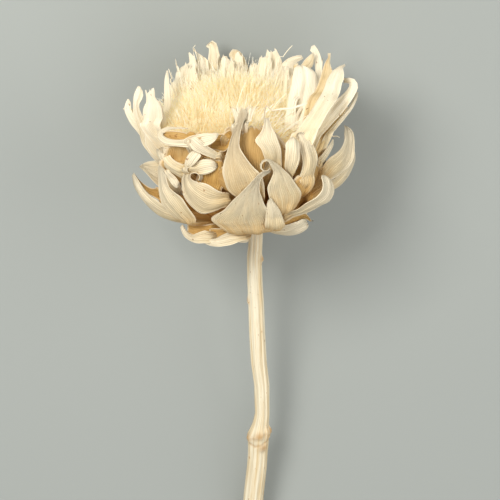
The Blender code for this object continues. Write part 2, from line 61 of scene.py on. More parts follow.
Point = tuple[float, float, float]
Colour = tuple[float, float, float]
Pair = tuple[float, float, float, float, float, float]
Looks = dict[str, object]


def paint(red: int, green: int, blue: int) -> Colour:
    """Turns a colour as a screen shows it, 0 to 255, into linear light.

    Args:
        red, green, blue: the screen's values.

    Returns:
        The three values in linear light.
    """
    return tuple(((v / 255 + 0.055) / 1.055) ** 2.4 for v in (red, green, blue))


def unit(vectors: np.ndarray) -> np.ndarray:
    """The vectors at length 1."""
    return vectors / np.maximum(np.linalg.norm(vectors, axis=-1, keepdims=True), 1e-9)


# How the flower lies and is seen

@dataclass(frozen=True)
class Pose:
    """How the upright flower is laid on its back."""

    tilt: float = math.radians(11.5)
    neck: Point = (6.0, 46.3, 41.4)

    def turn(self, vectors: np.ndarray) -> np.ndarray:
        """Turns upright directions into the frame's."""
        s, c = math.sin(self.tilt), math.cos(self.tilt)
        x, y, z = vectors[..., 0], vectors[..., 1], vectors[..., 2]
        return np.stack([x, y * s + z * c, z * s - y * c], -1)

    def place(self, points: np.ndarray) -> np.ndarray:
        """Turns upright points in millimetres into the frame's, in metres."""
        return (self.turn(points) + np.array(self.neck)) * MM

    def height(self, points: np.ndarray) -> np.ndarray:
        """How high upright points come to lie above the surface, in millimetres."""
        return self.turn(points)[..., 2] + self.neck[2]

    def lift(self) -> np.ndarray:
        """The upright direction that points away from the surface."""
        return np.array([0, -math.cos(self.tilt), math.sin(self.tilt)])


POSE = Pose()
VIEW = math.radians(24)


def seen(across: float, up: float, front: float) -> Point:
    """A point from how far across, up and towards the viewer it is seen.

    Args:
        across: millimetres to the viewer's right of the axis.
        up: millimetres above the neck, as the viewer sees it.
        front: millimetres towards the viewer.

    Returns:
        The upright point.
    """
    return (across, -front, (up + front * math.sin(VIEW)) / math.cos(VIEW))


def around(azimuth: float, radius: float, height: float) -> Point:
    """A point from its angle round the axis (0 is the front), its radius and its height."""
    angle = math.radians(azimuth)
    return (radius * math.sin(angle), -radius * math.cos(angle), height)


def choke_room(z: np.ndarray) -> tuple[np.ndarray, np.ndarray]:
    """Where the choke's middle is at a height, and how far it reaches there."""
    rise = np.clip((z - ROOM_START) / ROOM_HEIGHT, 0, 1)
    return ROOM_MIDDLE - ROOM_LEAN * rise, ROOM_REACH + ROOM_FLARE * rise


def circle(middle: float, radius: float, height: float, angles: np.ndarray) -> np.ndarray:
    """Points round the axis at one height."""
    return np.stack([middle + radius * np.cos(angles), radius * np.sin(angles), 0 * angles + height], 1)


def linked(name: str, data: bpy.types.ID) -> bpy.types.Object:
    """A new object in the scene."""
    thing = bpy.data.objects.new(name, data)
    bpy.context.scene.collection.objects.link(thing)
    return thing


def mesh_points(mesh: bpy.types.Mesh) -> np.ndarray:
    """A mesh's points, one on each row."""
    points = np.empty(len(mesh.vertices) * 3, np.float32)
    mesh.vertices.foreach_get("co", points)
    return points.reshape(-1, 3).astype(float)


# Node trees

class Wire:
    """A socket of a node tree, with the arithmetic that its values take part in."""

    def __init__(self, board: "Board", socket: bpy.types.NodeSocket) -> None:
        """Keeps the socket and the board that it is on."""
        self.board = board
        self.socket = socket

    def _math(self, operation: str, *operands: "Wire | float") -> "Wire":
        """Adds one Math node."""
        return self.board.node("ShaderNodeMath", dict(enumerate(operands)), operation=operation)

    def __add__(self, other: "Wire | float") -> "Wire":
        """Sum."""
        return self._math("ADD", self, other)

    __radd__ = __add__

    def __sub__(self, other: "Wire | float") -> "Wire":
        """Difference."""
        return self._math("SUBTRACT", self, other)

    def __rsub__(self, other: float) -> "Wire":
        """Difference from a number."""
        return self._math("SUBTRACT", other, self)

    def __mul__(self, other: "Wire | float") -> "Wire":
        """Product."""
        return self._math("MULTIPLY", self, other)

    def twin(self, output: str) -> "Wire":
        """Another output of the same node."""
        return Wire(self.board, self.socket.node.outputs[output])

    def wave(self) -> "Wire":
        """Sine, moved to run from 0 to 1."""
        return self._math("SINE", self) * 0.5 + 0.5

    def ramp(self, start: float, stop: float) -> "Wire":
        """Smooth step: 0 at the start value and 1 at the stop value."""
        feeds = {"Value": self, "From Min": start, "From Max": stop}
        return self.board.node("ShaderNodeMapRange", feeds, interpolation_type="SMOOTHSTEP")


class Board:
    """A node tree that is filled by writing expressions."""

    def __init__(self, tree: bpy.types.NodeTree) -> None:
        """Keeps the tree."""
        self.tree = tree

    def node(self, kind: str, feeds: dict | None = None, output: str | None = None,
             **settings: object) -> Wire:
        """Adds a node.

        Args:
            kind: the node's type.
            feeds: a value or Wire for each input, by its name or number.
            output: the name of the output that is wanted, or None for the first one.
            **settings: the node's own settings, which are set first.

        Returns:
            The output.
        """
        node = self.tree.nodes.new(kind)
        for key, value in settings.items():
            setattr(node, key, value)
        for key, value in (feeds or {}).items():
            self.feed(self._pick(node.inputs, key), value)
        return Wire(self, self._pick(node.outputs, output or 0))

    @staticmethod
    def _pick(sockets: bpy.types.bpy_prop_collection, key: str | int) -> bpy.types.NodeSocket:
        """The socket in use that has a name or a number."""
        live = [socket for socket in sockets if socket.enabled]
        return live[key] if isinstance(key, int) else next(s for s in live if s.name == key)

    def feed(self, socket: bpy.types.NodeSocket, value: object) -> None:
        """Links a Wire to an input, or sets the input's value."""
        if isinstance(value, Wire):
            self.tree.links.new(value.socket, socket)
            return
        if socket.type == "RGBA" and len(value) == 3:
            value = (*value, 1.0)
        socket.default_value = value

    def mix(self, first: object, second: object, share: Wire | float) -> Wire:
        """Blends two colours: all of the first at 0, all of the second at 1."""
        feeds = {"Factor": share, "A": first, "B": second}
        return self.node("ShaderNodeMix", feeds, data_type="RGBA")

    def attribute(self, name: str, output: str = "Fac") -> Wire:
        """What a mesh's own attribute holds."""
        return self.node("ShaderNodeAttribute", output=output, attribute_name=name)

    def stretched(self, vector: Wire, scale: Point) -> Wire:
        """A vector with each of its parts multiplied."""
        return self.node("ShaderNodeVectorMath", {0: vector, 1: scale}, operation="MULTIPLY")

    def noise(self, vector: Wire, scale: Point, detail: float = 2.0, rough: float = 0.5) -> Wire:
        """Smooth noise from 0 to 1 over a stretched vector."""
        feeds = {"Vector": self.stretched(vector, scale), "Scale": 1.0, "Detail": detail}
        return self.node("ShaderNodeTexNoise", {**feeds, "Roughness": rough})


class GrowthBoard(Board):
    """A Geometry Nodes tree with named inputs, whose result is made a plain mesh."""

    def __init__(self, name: str, inputs: dict[str, object]) -> None:
        """Makes the tree and its named inputs.

        Args:
            name: the tree's name.
            inputs: each input's name and value: a number, a whole number, a vector or a material.
        """
        super().__init__(bpy.data.node_groups.new(name, "GeometryNodeTree"))
        self.values = inputs
        sockets = self.tree.interface
        sockets.new_socket("Geometry", in_out="INPUT", socket_type="NodeSocketGeometry")
        sockets.new_socket("Geometry", in_out="OUTPUT", socket_type="NodeSocketGeometry")
        kinds = {int: "NodeSocketInt", float: "NodeSocketFloat", tuple: "NodeSocketVector",
                 bpy.types.Material: "NodeSocketMaterial"}
        for key, value in inputs.items():
            sockets.new_socket(key, in_out="INPUT", socket_type=kinds[type(value)])
        self.entry = self.tree.nodes.new("NodeGroupInput")

    def given(self, name: str = "Geometry") -> Wire:
        """One of the tree's named inputs."""
        return Wire(self, self.entry.outputs[name])

    def vector(self, kind: str, first: object, second: object) -> Wire:
        """Adds one Vector Math node: ADD, SUBTRACT, MULTIPLY or SCALE."""
        if kind == "SCALE":
            return self.node("ShaderNodeVectorMath", {"Vector": first, "Scale": second}, operation=kind)
        return self.node("ShaderNodeVectorMath", {0: first, 1: second}, operation=kind)

    def stored(self, geometry: Wire, name: str, kind: str, domain: str, value: Wire) -> Wire:
        """The geometry with a value kept on it under a name."""
        feeds = {"Geometry": geometry, "Name": name, "Value": value}
        return self.node("GeometryNodeStoreNamedAttribute", feeds, data_type=kind, domain=domain)

    def kept(self, name: str, kind: str = "FLOAT") -> Wire:
        """The value that is kept on the geometry under a name."""
        return self.node("GeometryNodeInputNamedAttribute", {"Name": name}, data_type=kind)

    def chance(self, low: object, high: object, shift: float, kind: str = "FLOAT") -> Wire:
        """A random value for each point, from the tree's seed moved by a shift."""
        seed = self.given("Seed") + shift if shift else self.given("Seed")
        return self.node("FunctionNodeRandomValue", {"Min": low, "Max": high, "Seed": seed}, data_type=kind)

    def centred(self, wire: Wire) -> Wire:
        """A vector from 0 to 1, moved to lie round 0."""
        return self.vector("SUBTRACT", wire, (0.5, 0.5, 0.5))

    def tube(self, rail: Wire, radius: Wire, ring: Wire) -> Wire:
        """Closed tubes along curves, as thick as their radius says."""
        rail = self.node("GeometryNodeSetCurveRadius", {"Curve": rail, "Radius": radius})
        feeds = {"Curve": rail, "Profile Curve": ring, "Scale": radius, "Fill Caps": True}
        return self.node("GeometryNodeCurveToMesh", feeds)

    def moved(self, geometry: Wire, offset: Wire) -> Wire:
        """The geometry with its points moved."""
        return self.node("GeometryNodeSetPosition", {"Geometry": geometry, "Offset": offset})

    def close(self, geometry: Wire) -> None:
        """Ends the tree: its instances are made real and get the material input."""
        plain = self.node("GeometryNodeRealizeInstances", {"Geometry": geometry})
        smooth = self.node("GeometryNodeSetShadeSmooth", {"Geometry": plain})
        done = self.node("GeometryNodeSetMaterial", {"Geometry": smooth, "Material": self.given("Material")})
        self.feed(self.tree.nodes.new("NodeGroupOutput").inputs[0], done)

    def run(self, seed_mesh: bpy.types.Mesh) -> bpy.types.Mesh:
        """Runs the tree on a mesh.

        Args:
            seed_mesh: what the tree starts from.

        Returns:
            A plain mesh, with the material in its slot.
        """
        holder = linked(self.tree.name, seed_mesh)
        step = holder.modifiers.new("growth", "NODES")
        step.node_group = self.tree
        for socket in self.tree.interface.items_tree:
            if socket.in_out == "INPUT" and socket.name in self.values:
                step[socket.identifier] = self.values[socket.name]
        graph = bpy.context.evaluated_depsgraph_get()
        mesh = bpy.data.meshes.new_from_object(holder.evaluated_get(graph))
        bpy.data.objects.remove(holder)
        return mesh


# Finishes

class Surface(Board):
    """A material's node tree, with its Principled shader."""

    def __init__(self, name: str) -> None:
        """Makes the material."""
        self.material = bpy.data.materials.new(name)
        self.material.use_nodes = True
        super().__init__(self.material.node_tree)
        self.shader = self.tree.nodes["Principled BSDF"]
        self.put("Specular IOR Level", 0.25)

    def put(self, socket: str, value: object) -> None:
        """Sets or links one of the shader's sockets."""
        self.feed(self.shader.inputs[socket], value)

    def relief(self, height: Wire, depth: float) -> None:
        """Raises a pattern on the surface.

        Args:
            height: the pattern, from 0 to 1.
            depth: how high it stands, in millimetres.
        """
        self.put("Normal", self.node("ShaderNodeBump", {"Height": height, "Distance": depth * MM}))


@dataclass(frozen=True)
class LeafFinish:
    """Dried leaf skin: striped lengthwise, paler at tip and edge, tan inside and brown at the root, partly
    its own colour and partly painted shade.
    """

    name: str
    tip: Colour
    back: Colour
    dull: Colour
    inside: Colour
    root: Colour
    speck: Colour = paint(150, 100, 48)
    root_end: float = 0.52
    vein_gap: float = 1.05
    vein_depth: float = 0.40
    rough: float = 0.72
    # How strongly the low part of each blade glows as painted light.
    painted_glow: float = 0.16

    def material(self) -> bpy.types.Material:
        """Builds the material from the blade's own attributes."""
        leaf = Surface(self.name)
        grain = leaf.attribute("grain", "Vector")
        along = leaf.attribute("along")
        inner = leaf.attribute("inner")
        tan = leaf.attribute("tan")
        white = leaf.attribute("pale")
        edge = leaf.attribute("edge")
        fibre = leaf.noise(grain, (3.4, 0.09, 1.0), 3.0, 0.6)
        streak = leaf.noise(grain, (0.9, 0.03, 1.0), 2.0)
        cloud = leaf.noise(grain, (0.14, 0.10, 1.0), 2.0)
        split = leaf.node("ShaderNodeSeparateXYZ", {"Vector": grain}, "X")
        vein = (split * (2 * math.pi / self.vein_gap) + streak * 5.0).wave()

        pale = (along + (cloud - 0.5) * 0.5).ramp(0.35, 0.95)
        skin = leaf.mix(self.back, self.tip, pale)
        skin = leaf.mix(skin, self.dull, (cloud.ramp(0.42, 0.66)) * (1 - inner) * 0.75 * (1 - pale * 0.6))
        # Inner faces and blades with a high tan take the tan colour: partly the bracts' own tan and partly
        # painted shade where they lie in the hollows.
        skin = leaf.mix(skin, self.inside, inner * (1 - pale * 0.55))
        skin = leaf.mix(skin, self.inside, tan)
        skin = leaf.mix(skin, self.root, tan * (cloud * 0.6 + streak * 0.4).ramp(0.42, 0.62) * 0.4)
        skin = leaf.mix(skin, self.tip, white * along.ramp(0.15, 0.45))
        skin = leaf.mix(skin, self.tip, edge.ramp(0.80, 1.0) * 0.7)
        # Towards the root the skin turns tan and then brown: partly the unbleached base's own colour and
        # partly painted shade deep inside the head.
        low = 1 - (along + (streak - 0.5) * 0.25).ramp(0.12, self.root_end)
        skin = leaf.mix(skin, self.inside, low * 0.85)
        deep = 1 - (along + (streak - 0.5) * 0.2).ramp(0.02, 0.28)
        skin = leaf.mix(skin, self.root, deep * 0.8)
        lines = (1 - vein) * 0.22 + fibre.ramp(0.5, 0.8) * 0.30 + low * fibre.ramp(0.42, 0.62) * 0.4
        skin = leaf.mix(skin, self.root, lines)
        spot = leaf.noise(grain, (0.55, 0.4, 1.0), 1.0).ramp(0.735, 0.775)
        skin = leaf.mix(skin, self.speck, spot * 0.7)
        leaf.put("Base Color", skin)
        # Painted light: the low part of each blade glows in the root colour, standing in for light that
        # shines through the papery bracts into the gaps.
        leaf.put("Emission Color", leaf.mix((0.0, 0.0, 0.0), self.root, low))
        leaf.put("Emission Strength", self.painted_glow)
        leaf.put("Roughness", self.rough + (fibre - 0.5) * 0.25)
        leaf.relief(vein * 0.55 + fibre * 0.6 + cloud * 0.5, self.vein_depth)
        return leaf.material


@dataclass(frozen=True)
class HairFinish:
    """Fine choke hair, straw at the root and pale at the tip; the darker root is partly its own colour and
    partly painted shade between the hairs.
    """

    name: str
    tip: Colour
    root: Colour
    pale: Colour
    rough: float = 0.8
    # How strongly the hair glows as painted light.
    painted_glow: float = 0.17

    def material(self) -> bpy.types.Material:
        """Builds the material from the hair's own attributes."""
        hair = Surface(self.name)
        along = hair.attribute("along")
        tint = hair.attribute("tint")
        # The root colour is partly the hair's own straw and partly painted shade low between the hairs.
        strand = hair.mix(self.root, self.tip, along.ramp(0.0, 0.8))
        strand = hair.mix(strand, self.pale, tint.ramp(0.5, 0.95) * along.ramp(0.2, 0.9) * 0.9)
        strand = hair.mix(strand, self.root, (1 - tint).ramp(0.45, 0.95) * 0.7)
        place = hair.node("ShaderNodeTexCoord", output="Object")
        patch = hair.noise(place, (0.09 / MM,) * 3, 2.0)
        strand = hair.mix(strand, self.root, patch.ramp(0.55, 0.75) * 0.35)
        hair.put("Base Color", strand)
        # Painted light: the hair glows in its own colour, lifting the shade between the hairs.
        hair.put("Emission Color", strand)
        hair.put("Emission Strength", self.painted_glow)
        hair.put("Roughness", self.rough - tint * 0.15)
        return hair.material


@dataclass(frozen=True)
class FluffFinish:
    """The matted felt under hair, or the rough base that the bracts grow from."""

    name: str
    high: Colour
    low: Colour
    grit: float = 1.1

    def material(self) -> bpy.types.Material:
        """Builds the material over the object's own coordinates."""
        felt = Surface(self.name)
        place = felt.node("ShaderNodeTexCoord", output="Object")
        tuft = felt.noise(place, (self.grit / MM,) * 3, 3.0, 0.6)
        patch = felt.noise(place, (0.12 / MM,) * 3, 2.0)
        tone = felt.mix(self.low, self.high, (tuft * 0.6 + patch * 0.4).ramp(0.35, 0.65))
        felt.put("Base Color", tone)
        felt.put("Roughness", 0.8 + (tuft - 0.5) * 0.2)
        felt.relief(tuft, 0.5)
        return felt.material


@dataclass(frozen=True)
class StalkFinish:
    """Peeled dry stalk: long pale fibres, tan in the furrows, darker at the leaf node."""

    name: str
    ridge: Colour
    furrow: Colour
    scar: Colour

    def material(self) -> bpy.types.Material:
        """Builds the material from the stalk's own attributes."""
        stalk = Surface(self.name)
        grain = stalk.attribute("grain", "Vector")
        worn = stalk.attribute("worn")
        fibre = stalk.noise(grain, (3.0, 0.05, 1.0), 3.0, 0.6)
        band = stalk.noise(grain, (0.55, 0.012, 1.0), 2.0)
        cloud = stalk.noise(grain, (0.10, 0.05, 1.0), 2.0)
        tone = stalk.mix(self.furrow, self.ridge, (fibre * 0.45 + band * 0.55).ramp(0.36, 0.60))
        tone = stalk.mix(tone, self.furrow, cloud.ramp(0.5, 0.75) * 0.45)
        tone = stalk.mix(tone, self.scar, worn * (0.45 + fibre * 0.5))
        fleck = stalk.noise(grain, (0.9, 0.35, 1.0), 1.0).ramp(0.72, 0.77)
        tone = stalk.mix(tone, self.scar, fleck * 0.6)
        stalk.put("Base Color", tone)
        stalk.put("Roughness", 0.62 + (fibre - 0.5) * 0.3)
        stalk.relief(fibre * 0.7 + band * 0.6, 0.25)
        return stalk.material


@dataclass(frozen=True)
class PithFinish:
    """The cut end: a hard pale rim, and spongy pith inside it."""

    name: str
    rim: Colour
    pith: Colour
    pore: Colour

    def material(self) -> bpy.types.Material:
        """Builds the material from how far out each point of the cut is."""
        cut = Surface(self.name)
        out = cut.attribute("out")
        place = cut.node("ShaderNodeTexCoord", output="Object")
        feeds = {"Vector": place, "Scale": 1.6 / MM}
        cell = cut.node("ShaderNodeTexVoronoi", feeds, "Distance")
        tone = cut.mix(self.pore, self.pith, cell.ramp(0.08, 0.4))
        tone = cut.mix(tone, self.rim, (out + (cell - 0.4) * 0.1).ramp(0.66, 0.76))
        cut.put("Base Color", tone)
        cut.put("Roughness", 0.9 - out * 0.1)
        cut.relief(cell, 0.3)
        return cut.material


@dataclass(frozen=True)
class FloorFinish:
    """A plain pale matt surface."""

    name: str = "pale_floor"
    tone: Colour = paint(158, 163, 160)

    def material(self) -> bpy.types.Material:
        """Builds the plain material."""
        floor = Surface(self.name)
        floor.put("Base Color", self.tone)
        floor.put("Roughness", 0.95)
        return floor.material


# Blades

# Steps of a curve from one of its points to the next, and stations along a midrib, along it before its hook
# is added, and along a pair of edges.
SPAN_STEPS = 12
STATIONS, SHORT_STATIONS, EDGE_STATIONS = 73, 40, 97

# How many random angles each blade draws, and the radius and height at which the crown's straps start.
PHASES = 14
CROWN_ROOT = (24.0, 17.5)

# How near the surface a blade may come and how far above it the bending starts, in millimetres: for blades
# in the air, and for those that the head lies on.
FREE_GAP, PRESSED_GAP = (0.9, 4.0), (0.36, 1.5)


class Outline(Enum):
    """A blade's outline: belly and neck as shares of its length, then widths and how full its side is."""

    LEAF = (0.45, 0.94, 0.14, 1.7, 0.05)
    TAPER = (0.38, 0.95, 0.09, 1.05, 0.04)
    ROUND = (0.50, 0.97, 0.40, 3.2, 0.30)
    STRAP = (0.40, 0.95, 0.62, 4.0, 0.45)
    LANCE = (0.42, 0.95, 0.28, 2.2, 0.12)

    def width(self, s: np.ndarray) -> np.ndarray:
        """The width at each share of the length, as a share of the full width.

        Args:
            s: shares of the length, from 0 to 1.

        Returns:
            The widths.
        """
        widest, neck, neck_width, fullness, tip_width = self.value
        rise = 0.45 + 0.55 * np.sin(np.pi / 2 * np.clip(s / widest, 0, 1))
        past = np.clip((s - widest) / (neck - widest), 0, 1)
        end = np.clip((s - neck) / (1 - neck), 0, 1)
        fall = 1 - (1 - neck_width) * past**fullness
        tip = neck_width + (tip_width - neck_width) * end
        return np.where(s < widest, rise, np.where(s < neck, fall, tip))


def smooth_line(points: list[Point], steps: int = SPAN_STEPS) -> np.ndarray:
    """A curve through the points, with ends that carry straight on.

    Args:
        points: what it runs through.
        steps: how many points each span gets.

    Returns:
        The curve's points.
    """
    p = np.array(points, float)
    p = np.vstack([2 * p[0] - p[1], p, 2 * p[-1] - p[-2]])
    t = np.linspace(0, 1, steps, endpoint=False)[:, None]
    spans = [
        0.5 * (2 * b + (c - a) * t + (2 * a - 5 * b + 4 * c - d) * t**2 + (3 * b - a - 3 * c + d) * t**3)
        for a, b, c, d in zip(p, p[1:], p[2:], p[3:])
    ]
    return np.vstack(spans + [p[-2:-1]])


def evenly(line: np.ndarray, count: int) -> tuple[np.ndarray, float]:
    """The line again with points at equal spacing, and its length."""
    along = np.r_[0, np.cumsum(np.linalg.norm(np.diff(line, axis=0), axis=1))]
    stops = np.linspace(0, along[-1], count)
    return np.stack([np.interp(stops, along, line[:, k]) for k in range(3)], 1), along[-1]


def carried_frame(line: np.ndarray, twist: tuple[float, float]) -> tuple[np.ndarray, np.ndarray, np.ndarray]:
    """Directions along, across and inwards, carried from a third of the way without spin.

    Args:
        line: the midrib's points.
        twist: how far the blade turns round its midrib, from root to tip, in degrees.

    Returns:
        The three directions at each point.
    """
    forward = unit(np.gradient(line, axis=0))
    start = len(line) // 3
    azimuth = math.atan2(line[start, 0], -line[start, 1])
    across = np.zeros_like(line)
    for indices in (range(start, len(line)), range(start - 1, -1, -1)):
        w = np.array([math.cos(azimuth), math.sin(azimuth), 0])
        if indices.start != start:
            w = across[start]
        for i in indices:
            w = unit(w - (w @ forward[i]) * forward[i])
            across[i] = w
    inward = np.cross(forward, across)
    angle = np.radians(np.linspace(twist[0], twist[1], len(line)))[:, None]
    turned = across * np.cos(angle) + inward * np.sin(angle)
    return forward, turned, inward * np.cos(angle) - across * np.sin(angle)


def sampled(values: np.ndarray, s: np.ndarray) -> np.ndarray:
    """Values along a line, read at shares of its length."""
    stations = np.linspace(0, 1, len(values))
    return np.stack([np.interp(s, stations, values[:, k]) for k in range(3)], -1)


@dataclass(kw_only=True)
class Blade:
    """What every bract has: its place in the head, and how it is torn, bent and coloured."""

    name: str
    row: int
    wave: float = 0.6
    ragged: float = 0.0
    dent: float = 0.35
    strips: int = 1
    # tan: partly a bract's own tan inside, and partly painted shade for blades that lie in the hollows
    # between others.
    tan: float = 0.0
    pale: float = 0.0
    thick: float = 0.7
    pleat: float = 0.25
    pressed: bool = False

    def phases(self, count: int) -> np.ndarray:
        """Random angles of this bract's own, alike in each run."""
        return np.random.default_rng(zlib.crc32(self.name.encode())).uniform(0, 2 * np.pi, count)

    def root(self, first: Point) -> Point:
        """Where it starts, inside the base, below its first point."""
        azimuth = math.atan2(first[0], -first[1])
        rise = 2 + 1.8 * self.row + 0.3 * self.row * self.row
        radius, height = CROWN_ROOT if self.row == CROWN_ROW else (5 + 3.2 * self.row, rise)
        return (radius * math.sin(azimuth), -radius * math.cos(azimuth), height)

    def size(self) -> tuple[float, float]:
        """Its full width and its length."""
        raise NotImplementedError

    def surface(self, s: np.ndarray, c: np.ndarray) -> np.ndarray:
        """The middle of the blade at shares of its length (0 to 1) and of its width (-1 to 1)."""
        raise NotImplementedError

    def age(self, s: np.ndarray) -> np.ndarray:
        """How far each share of the length is from the brown root, for the colours."""
        return s

    def torn(self, s: np.ndarray, c: np.ndarray) -> np.ndarray:
        """The shares of the length again, cut short where the tip is torn."""
        p = self.phases(PHASES)
        teeth = 0.5 + 0.28 * np.sin(3.1 * c + p[0]) + 0.22 * np.sin(7.3 * c + p[1])
        teeth = teeth + 0.25 * np.sin(23 * c + p[6]) + 0.15 * np.sin(41 * c + p[7])
        return s * (1 - np.clip(self.ragged * teeth / self.size()[1], 0, 0.5))

    def nibble(self, s: np.ndarray, c: np.ndarray) -> np.ndarray:
        """The share by which the width changes along a worn edge."""
        p = self.phases(PHASES)
        wear = 0.5 * np.sin(31 * s + p[8] + np.sign(c)) + 0.5 * np.sin(53 * s + p[9] * np.sign(c))
        return 1 + 0.035 * np.abs(c) ** 3 * wear

    def relief(self, s: np.ndarray, c: np.ndarray, half: np.ndarray) -> np.ndarray:
        """How far the blade is dented and its edge rippled, in millimetres."""
        p = self.phases(PHASES)
        edge = np.abs(c) ** 1.5 * np.sin(np.pi * np.clip(s * 1.02, 0, 1)) ** 0.6
        ripple = np.sin(9 * s + p[2] + 1.5 * c) + 0.5 * np.sin(17 * s + p[3] - 2 * c)
        crumple = np.sin(5.3 * s + 2.2 * c + p[10]) + 0.7 * np.sin(11 * s - 3.1 * c + p[11])
        crumple = crumple + 0.45 * np.sin(19 * s + 5.2 * c + p[12]) + 0.3 * np.sin(29 * s - 6 * c + p[13])
        fold = np.sin(6.5 * c + p[4] + 1.2 * s) + 0.6 * np.sin(12.5 * c + p[5] - 2 * s)
        inside = np.clip(s * 4, 0, 1) * np.clip(half / 5, 0, 1)
        return self.wave * edge * ripple + (self.dent * crumple + self.pleat * fold) * inside

    def cleared(self, grid: np.ndarray) -> np.ndarray:
        """The points moved clear of the choke and of the surface."""
        if 3 <= self.row < CROWN_ROW:
            grid = self.clear_of_choke(grid)
        return self.clear_of_floor(grid, *(PRESSED_GAP if self.pressed else FREE_GAP))

    @staticmethod
    def clear_of_choke(grid: np.ndarray, gap: float = 1.2) -> np.ndarray:
        """Moves points out of the choke's room."""
        middle, reach = choke_room(grid[..., 2])
        dx, dy = grid[..., 0] - middle, grid[..., 1]
        far = np.hypot(dx, dy)
        inside = (grid[..., 2] > ROOM_START + 1) & (far < reach + gap)
        push = np.where(inside, (reach + gap) / np.maximum(far, 1), 1)
        return np.stack([middle + dx * push, dy * push, grid[..., 2]], -1)

    @staticmethod
    def clear_of_floor(grid: np.ndarray, lowest: float, soft: float) -> np.ndarray:
        """Bends points up where they would come within a few millimetres of the surface."""
        height = POSE.height(grid)
        room = soft - lowest
        eased = lowest + room * np.exp(np.minimum(height - soft, 0) / room)
        lift = np.where(height < soft, eased - height, 0)[..., None]
        return grid + lift * POSE.lift()


@dataclass(kw_only=True)
class Bract(Blade):
    """A bract by the line of its midrib and its outline."""

    midrib: list[Point]
    width: float
    shape: Outline = Outline.LEAF
    cup: tuple[float, float] = (20, 45)
    roll: tuple[float, float] = (0, 40)
    hook: tuple[float, float] = (0, 0)
    twist: tuple[float, float] = (0, 0)

    def size(self) -> tuple[float, float]:
        """Its full width and its length."""
        return self.width, self.line()[1]

    def line(self) -> tuple[np.ndarray, float]:
        """The whole midrib, from its root to the end of its hook, and its length."""
        line = smooth_line([self.root(self.midrib[0])] + list(self.midrib))
        radius, turn = self.hook
        if turn:
            forward, _, inward = carried_frame(evenly(line, SHORT_STATIONS)[0], (0, 0))
            bend = np.radians(np.linspace(0, abs(turn), SPAN_STEPS))[1:, None]
            side = math.copysign(1, turn) * inward[-1]
            arc = np.sin(bend) * forward[-1] + (1 - np.cos(bend)) * side
            line = np.vstack([line, line[-1] + radius * arc])
        return evenly(line, STATIONS)

    def surface(self, s: np.ndarray, c: np.ndarray) -> np.ndarray:
        """The middle of the blade at shares of its length and width."""
        line, _ = self.line()
        _, across, inward = carried_frame(line, self.twist)
        s = self.torn(s, c)
        half = self.width / 2 * self.shape.width(s) * self.nibble(s, c)
        cup = np.radians(self.cup[0] + (self.cup[1] - self.cup[0]) * s)
        roll = np.radians(self.roll[0] + (self.roll[1] - self.roll[0]) * s**1.5)
        side, deep = np.zeros(s.shape), np.zeros(s.shape)
        steps = (np.arange(SPAN_STEPS) + 0.5) / SPAN_STEPS
        for t in steps:
            turn = cup * c * t + roll * np.sign(c) * (c * t) ** 4
            side += np.cos(turn) / len(steps)
            deep += np.sin(turn) / len(steps)
        side, deep = side * half * c, deep * half * c + self.relief(s, c, half)
        grid = sampled(line, s) + sampled(across, s) * side[..., None] + sampled(inward, s) * deep[..., None]
        return self.cleared(grid)


@dataclass(kw_only=True)
class FacedBract(Blade):
    """A bract by its two edges, as they are seen.

    Each pair gives the left edge's across, up and front and then the right edge's, in millimetres, from
    the foot to the tip. Left and right are those of somebody who looks at the outer face, tip up.
    """

    edges: list[Pair]
    bulge: float = 0.28
    lip: float = 0.5
    foot: float = 0.26

    def lines(self) -> tuple[np.ndarray, np.ndarray, float, float]:
        """The two edges at equal steps of the midrib, its length, and the hidden foot's share of it."""
        left, right = [seen(*pair[:3]) for pair in self.edges], [seen(*pair[3:]) for pair in self.edges]
        middle = [(a + b) / 2 for a, b in zip(left[0], right[0])]
        start, across = np.array(self.root(middle)), np.array(right[0]) - np.array(left[0])
        reach = 0.22 * across
        lines = [smooth_line([tuple(start - reach)] + left), smooth_line([tuple(start + reach)] + right)]
        midrib = (lines[0] + lines[1]) / 2
        along = np.r_[0, np.cumsum(np.linalg.norm(np.diff(midrib, axis=0), axis=1))]
        stops = np.linspace(0, along[-1], EDGE_STATIONS)
        left, right = (np.stack([np.interp(stops, along, line[:, k]) for k in range(3)], 1) for line in lines)
        return left, right, float(along[-1]), float(along[SPAN_STEPS] / along[-1])

    def size(self) -> tuple[float, float]:
        """Its full width and its length."""
        left, right, length, _ = self.lines()
        return float(np.linalg.norm(right - left, axis=1).max()), length

    def age(self, s: np.ndarray) -> np.ndarray:
        """How far each share of the length is from the brown root; what shows starts at the foot's age."""
        start = self.lines()[3]
        shown = self.foot + (s - start) / (1 - start) * (1 - self.foot)
        return np.where(s < start, s / start * self.foot, shown)

    def surface(self, s: np.ndarray, c: np.ndarray) -> np.ndarray:
        """The middle of the blade at shares of its length and width."""
        left, right, _, _ = self.lines()
        forward = np.gradient((left + right) / 2, axis=0)
        outward = unit(np.cross(right - left, forward))
        trust = np.clip(np.linalg.norm(right - left, axis=1) / 4, 0.05, 1)
        for i in range(1, len(outward)):
            outward[i] = unit(outward[i] * trust[i] + outward[i - 1] * 0.8)
        s = self.torn(s, c)
        side = sampled((right - left) / 2, s)
        half = np.linalg.norm(side, axis=-1)
        rise = self.bulge * half * (1 - c * c) + self.lip * c**6 * np.clip(half / 4, 0, 1)
        rise = rise - self.relief(s, c, half)
        grid = sampled((left + right) / 2, s) + side * (c * self.nibble(s, c))[..., None]
        return self.cleared(grid + sampled(outward, s) * rise[..., None])


